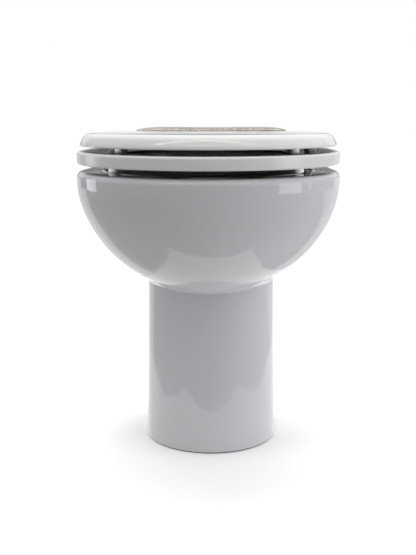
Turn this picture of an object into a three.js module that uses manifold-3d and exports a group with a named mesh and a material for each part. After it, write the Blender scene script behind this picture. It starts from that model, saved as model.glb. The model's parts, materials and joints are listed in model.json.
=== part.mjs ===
// Electric marine toilet: china bowl on a pedestal, seat and lid on a bar hinge, macerator pump inside.
// Millimetres, +Z up, the front faces -Y. Lengths along Y are measured from the bowl's widest line.
import * as THREE from 'three';
import Module from 'manifold-3d';
import { mergeVertices } from 'three/addons/utils/BufferGeometryUtils.js';

const wasm = await Module();
wasm.setup();

// Driving dimensions of the china
const rimHeight = 430.8;
const bowlHalfWidth = 188.8;
const bowlFrontDepth = 210.3;
const pedestalCentre = 86;
const pedestalWall = 12.4;
const ceilingThickness = 26;
const deckThickness = 16.8;
const chamberRearWall = 19;

// Driving dimensions of the seat and the lid
const seatInset = 1;
const seatRearInset = 68;
const seatPadHeight = 9.6;
const seatThickness = 17.5;
const seatRingWidth = 66;
const lidInset = 4.2;
const lidRearInset = 2;
const lidPadHeight = 8.4;
const lidThickness = 17.7;
const lidEdgeRound = 21;

// Fits
const seatingGap = 0.3;
const slidingGap = 0.25;
const runningGap = 1;

// Bar hinge
const hingeRise = 15.1;
const hingeGap = 7.9;
const barrelRadius = 7.1;
const rodRadius = 5;
const sleeveRadius = 6.7;
const pillarOffset = 77;
const pillarBarrelLength = 14.8;
const leafBarrelLength = 14.5;
const collarLength = 12.5;
const leftCapLength = 48.5;
const rightCapLength = 37.5;
const pillarFlangeRadius = 16;
const pillarFlangeHeight = 4;
const pillarStemRadius = 6;
const studRadius = 4;
const studLength = 34;
const leafThickness = 2.6;
const leafReach = 62;
const nutRadius = 8;
const nutHeight = 8;
const nutFrontGap = 4.9;
const nutSideGap = 9;
const wingSpan = 28;
const wingThickness = 4;

// Rest pads
const padStemRadius = 3;
const padStemLength = 6;
const lidPadRadius = 9;
const seatPadRadius = 10;

// Pump line, from the bowl's outlet to the motor
const outletRadius = 27;
const outletClearance = 3;
const pipeWall = 4;
const elbowRun = 5.3;
const elbowFlangeThickness = 6;
const housingLength = 36;
const housingRadius = 50;
const backPlateThickness = 6;
const motorRadius = 44;
const motorLength = 82;
const motorWall = 3;
const motorRearGap = 9.82;
const shaftRadius = 5;
const endCapLength = 14;

// Discharge line, hung under the hollow's ceiling
const ceilingGap = 15;
const spoutRise = 10.7;
const bendRun = 18.4;
const dischargeOffset = 27;
const dischargeRadius = 19;
const valveRadius = 27;
const valveRearGap = 28.7;
const flapRadius = 18.5;
const flapThickness = 2.5;
const spigotInset = 5.7;

// Rinse valve
const rinseTopGap = 7;
const rinseBore = 11;
const coilRadius = 14;
const coilLength = 36;
const plungerRadius = 5;

// Access opening and its panel
const openingSide = 18;
const openingTop = 11;
const openingCorner = 24;
const panelThickness = 4;
const panelInset = 7.4;
const glandRadius = 8;
const glandOffset = -34;
const glandDrop = 36;

// Floor brackets
const bracketOffset = 66;
const bracketWidth = 34;
const bracketHeight = 60;
const bracketFoot = 26;
const bracketThickness = 3;
const bracketInset = 2.2;
const bracketBoltHeight = 32;
const bracketBoltRadius = 4;
const boltHeadRadius = 7;
const boltHeadHeight = 2;

// Sections of the china from the foot to the rim: height, half width, front, rear, centre, rear power.
const shellShares = [
  [0.0000, 0.5297, 0.0666, 0.8825, 1.000, 5.00],
  [0.0028, 0.5434, 0.0789, 0.8903, 1.000, 5.00],
  [0.0093, 0.5503, 0.0851, 0.8955, 1.000, 5.00],
  [0.0371, 0.5508, 0.0856, 0.8955, 1.000, 5.00],
  [0.0754, 0.5482, 0.0832, 0.8940, 1.000, 5.00],
  [0.1393, 0.5397, 0.0756, 0.8910, 1.000, 5.00],
  [0.2089, 0.5360, 0.0723, 0.8888, 1.000, 5.00],
  [0.3482, 0.5302, 0.0670, 0.8881, 1.000, 5.00],
  [0.5571, 0.5212, 0.0590, 0.8896, 1.000, 4.90],
  [0.5722, 0.5207, 0.0761, 0.8910, 1.000, 4.80],
  [0.5896, 0.5207, 0.1617, 0.8940, 1.000, 4.60],
  [0.5989, 0.5212, 0.2853, 0.8974, 0.988, 4.40],
  [0.6058, 0.5222, 0.3543, 0.9000, 0.965, 4.30],
  [0.6151, 0.5238, 0.4327, 0.9037, 0.919, 4.15],
  [0.6267, 0.5291, 0.5064, 0.9086, 0.837, 4.00],
  [0.6383, 0.5434, 0.5635, 0.9134, 0.744, 3.85],
  [0.6523, 0.5890, 0.6182, 0.9194, 0.651, 3.70],
  [0.6662, 0.6340, 0.6643, 0.9254, 0.558, 3.60],
  [0.6871, 0.6901, 0.7204, 0.9336, 0.442, 3.45],
  [0.7219, 0.7680, 0.7941, 0.9463, 0.291, 3.30],
  [0.7567, 0.8300, 0.8512, 0.9575, 0.186, 3.20],
  [0.7916, 0.8808, 0.8963, 0.9679, 0.105, 3.10],
  [0.8264, 0.9216, 0.9339, 0.9776, 0.047, 3.00],
  [0.8612, 0.9539, 0.9624, 0.9858, 0.012, 3.00],
  [0.9308, 0.9936, 0.9957, 0.9970, 0.000, 2.90],
  [0.9796, 1.0000, 1.0000, 1.0000, 0.000, 2.90],
  [0.9893, 0.9936, 0.9943, 0.9955, 0.000, 2.90],
  [0.9965, 0.9788, 0.9810, 0.9851, 0.000, 2.90],
  [1.0000, 0.9576, 0.9620, 0.9701, 0.000, 2.90],
];

// Sections of the basin from the outlet to its opening, in the same shares.
const basinShares = [
  [0.5896, 0.1430, -0.0523, 0.2425, 0.442, 2.00],
  [0.5989, 0.1774, -0.0095, 0.2687, 0.442, 2.00],
  [0.6105, 0.2304, 0.0618, 0.3022, 0.442, 2.00],
  [0.6198, 0.2860, 0.1474, 0.3358, 0.430, 2.10],
  [0.6291, 0.3443, 0.2330, 0.3731, 0.407, 2.10],
  [0.6383, 0.3972, 0.3138, 0.4067, 0.372, 2.20],
  [0.6500, 0.4529, 0.4042, 0.4440, 0.326, 2.20],
  [0.6639, 0.5111, 0.4945, 0.4888, 0.267, 2.30],
  [0.6801, 0.5667, 0.5754, 0.5299, 0.186, 2.30],
  [0.7196, 0.6700, 0.6990, 0.6045, 0.093, 2.40],
  [0.7567, 0.7415, 0.7703, 0.6493, 0.035, 2.50],
  [0.7916, 0.7971, 0.8203, 0.6754, 0.000, 2.50],
  [0.8612, 0.8739, 0.8892, 0.6978, 0.000, 2.50],
  [0.9239, 0.9004, 0.9130, 0.7015, 0.000, 2.50],
  [0.9378, 0.8686, 0.8845, 0.6828, 0.000, 2.50],
  [0.9424, 0.7945, 0.8179, 0.6306, 0.000, 2.50],
  [0.9471, 0.7733, 0.7989, 0.6157, 0.000, 2.50],
  [0.9865, 0.7701, 0.7960, 0.6134, 0.000, 2.50],
  [0.9947, 0.7786, 0.8036, 0.6194, 0.000, 2.50],
  [1.0000, 0.7971, 0.8203, 0.6325, 0.000, 2.50],
];

// Chamber behind the basin: share of the rim height, then of its half width, front and rear at the deck.
const chamberShares = [
  [0.5571, 0.761, 0.351, 0.904],
  [0.5896, 0.801, 0.398, 0.916],
  [0.6198, 0.840, 0.485, 0.924],
  [0.6500, 0.870, 0.654, 0.932],
  [0.6801, 0.889, 0.777, 0.944],
  [0.7196, 0.919, 0.875, 0.956],
  [0.7916, 0.959, 0.965, 0.980],
  [0.8612, 1.000, 1.000, 1.000],
];
const chamberMouthShares = [0.700, 0.248, 0.888];

// Seat ring section: share of the ring width from the outer edge, share of the thickness.
const seatSectionShares = [
  [0.03, 0.00], [0.00, 0.13], [0.00, 0.80], [0.02, 0.93], [0.07, 1.00], [0.30, 1.00],
  [0.62, 0.97], [0.86, 0.88], [0.96, 0.74], [1.00, 0.50], [0.99, 0.14], [0.95, 0.00],
];

// Lid edge from the bottom up: share of the edge round's depth inwards, share of the thickness.
const lidEdgeShares = [
  [0.11, 0.00], [0.02, 0.06], [0.00, 0.17], [0.06, 0.33], [0.15, 0.49],
  [0.26, 0.65], [0.45, 0.81], [0.72, 0.92], [1.00, 0.955],
];
const lidDomeShares = [[0.72, 0.978], [0.40, 0.992]];

// Pad places as shares of the board's half width and of its depth to the front or to the rear
const lidPadShares = {
  front_left: [-0.643, -0.301],
  front_right: [0.643, -0.301],
  rear_left: [-0.828, 0.495],
  rear_right: [0.828, 0.495],
};
const seatPadShares = {
  front_left: [-0.650, -0.418],
  front_right: [0.650, -0.418],
  rear_left: [-0.788, 0.480],
  rear_right: [0.788, 0.480],
};

const ringSegments = 40;
const roundSegments = 20;
const smallSegments = 12;
const elbowSegments = 14;
const hingeSegments = 16;

// The pump line sets the pedestal's depth, and with it the depth of the bowl behind its widest line.
const pedestalTopRow = 8;
const [, pedestalHalfShare, pedestalFrontShare, pedestalRearShare] = shellShares[pedestalTopRow];
const hollowFront = pedestalWall - pedestalFrontShare * bowlFrontDepth;
const sealFlange = outletRadius + 2 * pipeWall;
const outletPlace = hollowFront + sealFlange + outletClearance;
const housingFront = outletPlace + sealFlange + elbowRun;
const housingEnd = housingFront + housingLength;
const backPlateFront = housingEnd + seatingGap;
const backPlateEnd = backPlateFront + backPlateThickness;
const canFront = backPlateEnd + seatingGap;
const canEnd = canFront + motorLength;
const endCapFront = canEnd + seatingGap;
const endCapEnd = endCapFront + endCapLength;
const panelBack = endCapEnd + motorRearGap;
const panelFace = panelBack + panelThickness;
const pedestalRear = panelFace + panelInset;
const bowlRearDepth = pedestalRear / pedestalRearShare;
const hollowRear = pedestalRear - pedestalWall;
const hollowHalfWidth = pedestalHalfShare * bowlHalfWidth - pedestalWall;

// Seat, lid and hinge follow the bowl's rim.
const seatHalfWidth = bowlHalfWidth - seatInset;
const seatFrontDepth = bowlFrontDepth;
const seatRearDepth = bowlRearDepth - seatRearInset;
const seatBottom = rimHeight + seatPadHeight;
const seatTop = seatBottom + seatThickness;
const lidHalfWidth = seatHalfWidth - lidInset;
const lidFrontDepth = seatFrontDepth - lidInset;
const lidRearDepth = seatRearDepth - lidRearInset;
const lidBottom = seatTop + lidPadHeight;
const hingeHeight = lidBottom + hingeRise;
const hingeDepth = seatRearDepth + hingeGap + barrelRadius;

// Heights below the basin follow its floor.
const basinFloor = basinShares[0][0] * rimHeight;
const hollowCeiling = basinFloor - ceilingThickness;
const chamberTop = rimHeight - deckThickness;
const chamberHalfWidth = pillarOffset + wingSpan / 2 + nutSideGap;
const chamberFront = hingeDepth - nutRadius - nutFrontGap;
const chamberRear = bowlRearDepth - chamberRearWall;
const dischargeHeight = hollowCeiling - ceilingGap - valveRadius;
const spoutTop = dischargeHeight - valveRadius - seatingGap - elbowFlangeThickness;
const pumpAxisHeight = spoutTop - spoutRise - housingRadius;
const openingHalfWidth = hollowHalfWidth - openingSide;
const openingHeight = dischargeHeight + dischargeRadius + openingTop;
const bracketDepth = pedestalCentre + bracketOffset;
const bracketFace = hollowHalfWidth - bracketInset;

// Colours from the photo
const finishes = {
  china: [0xdfe1e4, 0.06, 0],
  enamel: [0xecebe8, 0.12, 0],
  pad: [0xd9d9d6, 0.5, 0],
  chrome: [0xc9c7c2, 0.12, 1],
  steel: [0x9b9c9c, 0.35, 1],
  blackPlastic: [0x1d1e20, 0.5, 0],
  greyPlastic: [0x55585b, 0.5, 0],
  whitePlastic: [0xe4e5e6, 0.4, 0],
  rubber: [0x151515, 0.8, 0],
  motorPaint: [0x2b2d30, 0.4, 0.2],
};

// Solids and meshes
function solidFrom(geometry) {
  geometry.deleteAttribute('normal');
  geometry.deleteAttribute('uv');
  const merged = mergeVertices(geometry, seatingGap / 1000);
  return new wasm.Manifold(new wasm.Mesh({
    numProp: 3,
    vertProperties: new Float32Array(merged.attributes.position.array),
    triVerts: new Uint32Array(merged.index.array),
  }));
}

function geometryFrom(solid) {
  const mesh = solid.getMesh();
  const geometry = new THREE.BufferGeometry();
  geometry.setAttribute('position', new THREE.BufferAttribute(new Float32Array(mesh.vertProperties), 3));
  geometry.setIndex(new THREE.BufferAttribute(new Uint32Array(mesh.triVerts), 1));
  geometry.computeVertexNormals();
  return geometry;
}

function indexed(points, faces) {
  const geometry = new THREE.BufferGeometry();
  geometry.setAttribute('position', new THREE.Float32BufferAttribute(points.flat(), 3));
  geometry.setIndex(faces.flat());
  return geometry;
}

// A closed stack of rings with equal point counts, each ring anticlockwise seen from above.
function stack(rings) {
  const count = rings[0].length;
  const points = rings.flat();
  const faces = [];
  for (let level = 0; level + 1 < rings.length; level += 1) {
    for (let i = 0; i < count; i += 1) {
      const j = (i + 1) % count;
      const low = level * count;
      const high = low + count;
      faces.push([low + i, low + j, high + j], [low + i, high + j, high + i]);
    }
  }
  const capOf = (ring) => {
    const sum = ring.reduce((total, p) => [total[0] + p[0], total[1] + p[1], total[2] + p[2]], [0, 0, 0]);
    return sum.map((value) => value / ring.length);
  };
  const bottom = points.length;
  const top = bottom + 1;
  points.push(capOf(rings[0]), capOf(rings[rings.length - 1]));
  const last = (rings.length - 1) * count;
  for (let i = 0; i < count; i += 1) {
    const j = (i + 1) % count;
    faces.push([bottom, j, i], [top, last + i, last + j]);
  }
  return solidFrom(indexed(points, faces));
}

// One oval section: an elliptic front half and a squarer rear half on a shared widest line.
function oval({ height, halfWidth, front, rear, centre, rearPower, frontPower = 2 }, count = ringSegments) {
  const ring = [];
  for (let i = 0; i < count; i += 1) {
    const angle = (2 * Math.PI * i) / count;
    const across = Math.cos(angle);
    const along = Math.sin(angle);
    const power = along < 0 ? frontPower : rearPower;
    const x = halfWidth * Math.sign(across) * Math.abs(across) ** (2 / power);
    const reach = along < 0 ? front + centre : rear - centre;
    const y = centre + Math.sign(along) * reach * Math.abs(along) ** (2 / power);
    ring.push([x, y, height]);
  }
  return ring;
}

function chinaOval([height, halfWidth, front, rear, centre, rearPower]) {
  return oval({
    height: height * rimHeight,
    halfWidth: halfWidth * bowlHalfWidth,
    front: front * bowlFrontDepth,
    rear: rear * bowlRearDepth,
    centre: centre * pedestalCentre,
    rearPower,
  });
}

// A lathe body about +Z from [radius, height] pairs, closed on its axis or on itself.
function turned(profile, segments = roundSegments) {
  const points = profile.map(([radius, height]) => new THREE.Vector2(radius, height));
  return solidFrom(new THREE.LatheGeometry(points, segments).rotateX(Math.PI / 2));
}

function disc(radius, from, to, segments = roundSegments) {
  return turned([[0, from], [radius, from], [radius, to], [0, to]], segments);
}

function tube(outer, inner, from, to, segments = roundSegments) {
  return turned([[inner, from], [outer, from], [outer, to], [inner, to], [inner, from]], segments);
}

function box(sizeX, sizeY, sizeZ) {
  return solidFrom(new THREE.BoxGeometry(sizeX, sizeY, sizeZ));
}

const alongX = (solid) => solid.rotate([0, 90, 0]);
const alongY = (solid) => solid.rotate([-90, 0, 0]);

// A round bar along Z and one along +Y that meet in a ball at the origin.
function bendSolid(radius, low, high, end) {
  const sphere = new THREE.SphereGeometry(radius, elbowSegments, elbowSegments / 2);
  const ball = solidFrom(sphere.rotateX(Math.PI / 2));
  return disc(radius, low, high, elbowSegments).add(alongY(disc(radius, 0, end, elbowSegments))).add(ball);
}

const root = new THREE.Group();
root.position.y = (bowlFrontDepth - bowlRearDepth) / 2;

function place(name, solid, finish, at = [0, 0, 0]) {
  const [color, roughness, metalness] = finishes[finish];
  const material = new THREE.MeshStandardMaterial({ color, roughness, metalness });
  const mesh = new THREE.Mesh(geometryFrom(solid), material);
  mesh.name = name;
  mesh.position.set(...at);
  root.add(mesh);
}

const sides = [['left', -1], ['right', 1]];

// China bowl and pedestal
const studHoleRadius = studRadius + 2 * runningGap;

function hollowOval(height) {
  return oval({
    height,
    halfWidth: hollowHalfWidth,
    front: -hollowFront,
    rear: hollowRear,
    centre: pedestalCentre,
    rearPower: 5,
  });
}

function chamberOval([halfWidth, front, rear], height) {
  return oval({
    height,
    halfWidth: halfWidth * chamberHalfWidth,
    front: -front * chamberFront,
    rear: rear * chamberRear,
    centre: (front * chamberFront + rear * chamberRear) / 2,
    frontPower: 6,
    rearPower: 3,
  }, roundSegments);
}

function archway(halfWidth, height, corner, from, to) {
  const shape = new THREE.Shape();
  shape.moveTo(-halfWidth, -pedestalWall);
  shape.lineTo(halfWidth, -pedestalWall);
  shape.lineTo(halfWidth, height - corner);
  shape.absarc(halfWidth - corner, height - corner, corner, 0, Math.PI / 2, false);
  shape.absarc(corner - halfWidth, height - corner, corner, Math.PI / 2, Math.PI, false);
  const depth = to - from;
  const arch = solidFrom(new THREE.ExtrudeGeometry(shape, { depth, bevelEnabled: false, curveSegments: 6 }));
  return arch.rotate([90, 0, 0]).translate([0, to, 0]);
}

let china = stack(shellShares.map(chinaOval));
const basinRings = basinShares.map(chinaOval);
const aboveRim = basinRings[basinRings.length - 1].map(([x, y, z]) => [x, y, z + seatingGap]);
china = china.subtract(stack([...basinRings, aboveRim]));
const outletHole = disc(outletRadius, hollowCeiling - pipeWall, basinFloor + seatingGap);
china = china.subtract(outletHole.translate([0, outletPlace, 0]));
china = china.subtract(stack([hollowOval(-pedestalWall), hollowOval(hollowCeiling)]));
const chamberMouth = chamberOval(chamberMouthShares, hollowCeiling - 2 * runningGap);
const chamberRings = chamberShares.map(([height, ...shares]) => chamberOval(shares, height * rimHeight));
const [, ...deckShares] = chamberShares[chamberShares.length - 1];
china = china.subtract(stack([chamberMouth, ...chamberRings, chamberOval(deckShares, chamberTop)]));
const cutFront = hollowRear - pedestalWall;
china = china.subtract(archway(openingHalfWidth, openingHeight, openingCorner, cutFront, bowlRearDepth));
for (const [, side] of sides) {
  const studHole = disc(studHoleRadius, chamberTop - pedestalWall, rimHeight + pedestalWall, smallSegments);
  china = china.subtract(studHole.translate([side * pillarOffset, hingeDepth, 0]));
  const boltHole = alongX(disc(bracketBoltRadius + slidingGap, 0, bowlHalfWidth, smallSegments));
  const turnedHole = side > 0 ? boltHole : boltHole.rotate([0, 0, 180]);
  const holeStart = side * (hollowHalfWidth - pedestalWall);
  china = china.subtract(turnedHole.translate([holeStart, bracketDepth, bracketBoltHeight]));
}
const rinseFront = Math.max(...basinShares.map((row) => row[3])) * bowlRearDepth;
const grommetFlange = rinseBore + pipeWall;
const rinseHeight = chamberTop - rinseTopGap - grommetFlange;
const rinseHole = alongY(disc(rinseBore, rinseFront - pedestalWall, chamberFront + pedestalWall));
china = china.subtract(rinseHole.translate([0, 0, rinseHeight]));
place('china_bowl', china, 'china');

// Seat ring
const seatPower = 3.2;
const padHoleRadius = padStemRadius + slidingGap;
const padHoleDepth = padStemLength + 2 * seatingGap;
const screwRadius = 2;
const screwHoleRadius = screwRadius + slidingGap;
const screwLength = 12;
const screwHeadRadius = 4.2;
const screwHeadHeight = 2;
const screwPlaces = [14, 44];

function seatSection(share, thickness) {
  const inset = share * seatRingWidth;
  return oval({
    height: seatBottom + thickness * seatThickness,
    halfWidth: seatHalfWidth - inset,
    front: seatFrontDepth - inset,
    rear: seatRearDepth - inset,
    centre: 0,
    rearPower: seatPower - share,
  });
}

function ringSolid(loops) {
  const count = loops[0].length;
  const faces = [];
  for (let level = 0; level < loops.length; level += 1) {
    const low = level * count;
    const high = ((level + 1) % loops.length) * count;
    for (let i = 0; i < count; i += 1) {
      const j = (i + 1) % count;
      faces.push([low + i, low + j, high + j], [low + i, high + j, high + i]);
    }
  }
  return solidFrom(indexed(loops.flat(), faces));
}

let seat = ringSolid(seatSectionShares.map(([share, thickness]) => seatSection(share, thickness)));

function lidOval(inset, height) {
  return oval({
    height,
    halfWidth: lidHalfWidth - inset,
    front: lidFrontDepth - inset,
    rear: lidRearDepth - inset,
    centre: 0,
    rearPower: seatPower,
  });
}

function lidDomeOval([share, height]) {
  return oval({
    height: lidBottom + height * lidThickness,
    halfWidth: (lidHalfWidth - lidEdgeRound) * share,
    front: (lidFrontDepth - lidEdgeRound) * share,
    rear: (lidRearDepth - lidEdgeRound) * share,
    centre: 0,
    rearPower: seatPower,
  });
}

const lidRings = lidEdgeShares.map(([inwards, up]) => {
  return lidOval(inwards * lidEdgeRound, lidBottom + up * lidThickness);
});
let lid = stack([...lidRings, ...lidDomeShares.map(lidDomeOval)]);

function padPlaces(shares, halfWidth, front, rear) {
  return Object.entries(shares).map(([label, [across, along]]) => ({
    label,
    x: across * halfWidth,
    y: along * (along < 0 ? front : rear),
  }));
}

const lidPads = padPlaces(lidPadShares, lidHalfWidth, lidFrontDepth, lidRearDepth);
const seatPads = padPlaces(seatPadShares, seatHalfWidth, seatFrontDepth, seatRearDepth);
for (const { x, y } of lidPads) {
  const hole = disc(padHoleRadius, lidBottom - padHoleDepth, lidBottom + padHoleDepth, smallSegments);
  lid = lid.subtract(hole.translate([x, y, 0]));
}
for (const { x, y } of seatPads) {
  const hole = disc(padHoleRadius, seatBottom - padHoleDepth, seatBottom + padHoleDepth, smallSegments);
  seat = seat.subtract(hole.translate([x, y, 0]));
}

// Hinge leaves, with the barrel beside the pillar for the seat and the next one for the lid
const seatBarrelStart = pillarOffset - pillarBarrelLength / 2 - slidingGap - leafBarrelLength;
const lidBarrelStart = seatBarrelStart - slidingGap - leafBarrelLength;
const leafBoreRadius = rodRadius + slidingGap;

function leaf(barrelStart, underside, side) {
  const start = side > 0 ? barrelStart : -barrelStart - leafBarrelLength;
  const middle = start + leafBarrelLength / 2;
  const drop = hingeHeight - underside + seatingGap + leafThickness;
  const barrel = disc(barrelRadius, start, start + leafBarrelLength, hingeSegments);
  const web = box(leafBarrelLength, leafThickness, drop);
  const webPlace = leafThickness / 2 - barrelRadius;
  const plateDepth = leafReach - barrelRadius;
  const plate = box(leafBarrelLength, plateDepth, leafThickness);
  const plateLow = leafThickness / 2 - drop;
  const plateMiddle = -barrelRadius - plateDepth / 2 + leafThickness;
  let solid = alongX(barrel).add(web.translate([middle, webPlace, -drop / 2]));
  solid = solid.add(plate.translate([middle, plateMiddle, plateLow]));
  const bore = disc(leafBoreRadius, start - runningGap, start + leafBarrelLength + runningGap, hingeSegments);
  solid = solid.subtract(alongX(bore));
  for (const reach of screwPlaces) {
    const holeTop = leafThickness - drop + seatingGap;
    const hole = disc(screwHoleRadius, -drop - leafThickness, holeTop, smallSegments);
    solid = solid.subtract(hole.translate([middle, -barrelRadius - reach, 0]));
  }
  return { solid, middle };
}

function fixLeaf(board, underside, middle) {
  let drilled = board;
  for (const reach of screwPlaces) {
    const hole = disc(screwHoleRadius, -screwLength, screwLength, smallSegments);
    drilled = drilled.subtract(hole.translate([middle, hingeDepth - barrelRadius - reach, underside]));
  }
  return drilled;
}

function placeScrews(label, sideName, underside, middle) {
  const headTop = -seatingGap - leafThickness - seatingGap;
  const shank = screwLength - 4 * seatingGap;
  const head = disc(screwHeadRadius, headTop - screwHeadHeight, headTop, smallSegments);
  const screw = head.add(disc(screwRadius, headTop - seatingGap, shank, smallSegments));
  screwPlaces.forEach((reach, index) => {
    const at = [middle, hingeDepth - barrelRadius - reach, underside];
    place(`${label}_screw_${sideName}_${index + 1}`, screw, 'steel', at);
  });
}

for (const [sideName, side] of sides) {
  const seatLeaf = leaf(seatBarrelStart, seatBottom, side);
  const lidLeaf = leaf(lidBarrelStart, lidBottom, side);
  place(`seat_hinge_leaf_${sideName}`, seatLeaf.solid, 'chrome', [0, hingeDepth, hingeHeight]);
  place(`lid_hinge_leaf_${sideName}`, lidLeaf.solid, 'chrome', [0, hingeDepth, hingeHeight]);
  seat = fixLeaf(seat, seatBottom, seatLeaf.middle);
  lid = fixLeaf(lid, lidBottom, lidLeaf.middle);
  placeScrews('seat_leaf', sideName, seatBottom, seatLeaf.middle);
  placeScrews('lid_leaf', sideName, lidBottom, lidLeaf.middle);
}
place('seat_ring', seat, 'enamel');
place('lid', lid, 'enamel');

// Hinge rod, end caps, pillars and the locating collar
const pillarOuter = pillarOffset + pillarBarrelLength / 2;
const capSocketDepth = 12;
const rodEnd = pillarOuter + capSocketDepth - seatingGap;
const rod = disc(rodRadius, -rodEnd, rodEnd, hingeSegments);
const sleeveEnd = lidBarrelStart - slidingGap - collarLength - slidingGap;
const sleeve = disc(sleeveRadius, -lidBarrelStart + slidingGap, sleeveEnd, hingeSegments);
place('hinge_rod', alongX(rod.add(sleeve)), 'chrome', [0, hingeDepth, hingeHeight]);
const collarStart = sleeveEnd + slidingGap;
const collar = tube(barrelRadius, leafBoreRadius, collarStart, collarStart + collarLength, hingeSegments);
place('hinge_collar', alongX(collar), 'chrome', [0, hingeDepth, hingeHeight]);

const bulletShares = [
  [1.00, 0.00], [0.97, 0.22], [0.89, 0.45], [0.75, 0.66], [0.54, 0.83], [0.30, 0.94], [0.00, 1.00],
];
const capLengths = { left: leftCapLength, right: rightCapLength };
for (const [sideName, side] of sides) {
  const from = pillarOuter + slidingGap;
  const capLength = capLengths[sideName];
  const outline = bulletShares.map(([radius, along]) => [radius * barrelRadius, from + along * capLength]);
  const bore = [[0, from + capSocketDepth], [leafBoreRadius, from + capSocketDepth], [leafBoreRadius, from]];
  const cap = alongX(turned([...bore, ...outline], hingeSegments));
  const turnedCap = side > 0 ? cap : cap.rotate([0, 0, 180]);
  place(`hinge_cap_${sideName}`, turnedCap, 'chrome', [0, hingeDepth, hingeHeight]);

  const drop = hingeHeight - rimHeight;
  const barrel = alongX(disc(barrelRadius, -pillarBarrelLength / 2, pillarBarrelLength / 2, hingeSegments));
  const flangeTop = seatingGap - drop + pillarFlangeHeight;
  const stem = disc(pillarStemRadius, flangeTop - seatingGap, 0, hingeSegments);
  const flange = disc(pillarFlangeRadius, seatingGap - drop, flangeTop);
  const stud = disc(studRadius, -drop - studLength, flangeTop - seatingGap, smallSegments);
  const rodBore = alongX(disc(leafBoreRadius, -pillarBarrelLength, pillarBarrelLength, hingeSegments));
  const pillar = barrel.add(stem).add(flange).add(stud).subtract(rodBore);
  const at = [side * pillarOffset, hingeDepth, hingeHeight];
  place(`hinge_pillar_${sideName}`, pillar, 'chrome', at);

  const nutBody = disc(nutRadius, -nutHeight, 0, smallSegments);
  const wings = box(wingSpan, wingThickness, nutHeight).translate([0, 0, -nutHeight / 2]);
  const threadHole = disc(studRadius + slidingGap, -2 * nutHeight, nutHeight, smallSegments);
  const nut = nutBody.add(wings).subtract(threadHole);
  const nutPlace = [side * pillarOffset, hingeDepth, chamberTop - seatingGap];
  place(`hinge_wing_nut_${sideName}`, nut, 'whitePlastic', nutPlace);
}

// Rest pads on the lid and the seat
function pad(radius, height) {
  const edge = radius / 5;
  return turned([
    [0, 0], [radius - edge, 0], [radius, edge], [radius, height],
    [padStemRadius, height], [padStemRadius, height + padStemLength], [0, height + padStemLength],
  ], elbowSegments);
}

const lidPad = pad(lidPadRadius, lidBottom - seatTop - 2 * seatingGap);
for (const { label, x, y } of lidPads) {
  place(`lid_pad_${label}`, lidPad, 'pad', [x, y, seatTop + seatingGap]);
}
const seatPad = pad(seatPadRadius, seatBottom - rimHeight - 2 * seatingGap);
for (const { label, x, y } of seatPads) {
  place(`seat_pad_${label}`, seatPad, 'pad', [x, y, rimHeight + seatingGap]);
}

// Floor brackets and their bolts through the china
const boltRow = 4;
const boltFace = shellShares[boltRow][1] * bowlHalfWidth + seatingGap;
const boltInner = bracketFace - 3 * bracketThickness;
const floorHoleInset = bracketFoot / 2 + bracketThickness;
for (const [sideName, side] of sides) {
  const upright = box(bracketThickness, bracketWidth, bracketHeight);
  const foot = box(bracketFoot, bracketWidth, bracketThickness);
  let bracket = upright.translate([side * (bracketFace - bracketThickness / 2), 0, bracketHeight / 2]);
  bracket = bracket.add(foot.translate([side * (bracketFace - bracketFoot / 2), 0, bracketThickness / 2]));
  const hole = alongX(disc(bracketBoltRadius + slidingGap, -bowlHalfWidth, bowlHalfWidth, smallSegments));
  bracket = bracket.subtract(hole.translate([0, 0, bracketBoltHeight]));
  const floorHole = disc(bracketBoltRadius, -bracketThickness, 2 * bracketThickness, smallSegments);
  bracket = bracket.subtract(floorHole.translate([side * (bracketFace - floorHoleInset), 0, 0]));
  place(`floor_bracket_${sideName}`, bracket, 'steel', [0, bracketDepth, 0]);

  const shank = disc(bracketBoltRadius, boltInner, boltFace + seatingGap, smallSegments);
  const head = disc(boltHeadRadius, boltFace, boltFace + boltHeadHeight, smallSegments);
  const bolt = alongX(shank.add(head));
  const turnedBolt = side > 0 ? bolt : bolt.rotate([0, 0, 180]);
  place(`bracket_bolt_${sideName}`, turnedBolt, 'chrome', [0, bracketDepth, bracketBoltHeight]);
}

// Outlet seal and inlet elbow
const sealOuter = outletRadius - seatingGap;
const sealInner = outletRadius - pipeWall - seatingGap;
const sealBase = hollowCeiling - seatingGap - pipeWall;
const sealShoulder = hollowCeiling - seatingGap;
const sealTop = basinFloor - 2 * seatingGap;
place('outlet_seal', turned([
  [sealInner, sealBase], [sealFlange, sealBase], [sealFlange, sealShoulder], [sealOuter, sealShoulder],
  [sealOuter, sealTop], [sealInner, sealTop], [sealInner, sealBase],
]), 'rubber', [0, outletPlace, 0]);

const elbowTop = sealBase - seatingGap - pumpAxisHeight;
const elbowEnd = housingFront - seatingGap - outletPlace;
let elbow = bendSolid(outletRadius, 0, elbowTop, elbowEnd);
elbow = elbow.add(disc(sealFlange, elbowTop - elbowFlangeThickness, elbowTop));
elbow = elbow.add(alongY(disc(sealFlange, elbowEnd - elbowFlangeThickness, elbowEnd)));
elbow = elbow.subtract(bendSolid(sealInner, 0, elbowTop + pipeWall, elbowEnd + pipeWall));
place('inlet_elbow', elbow, 'greyPlastic', [0, outletPlace, pumpAxisHeight]);

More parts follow.
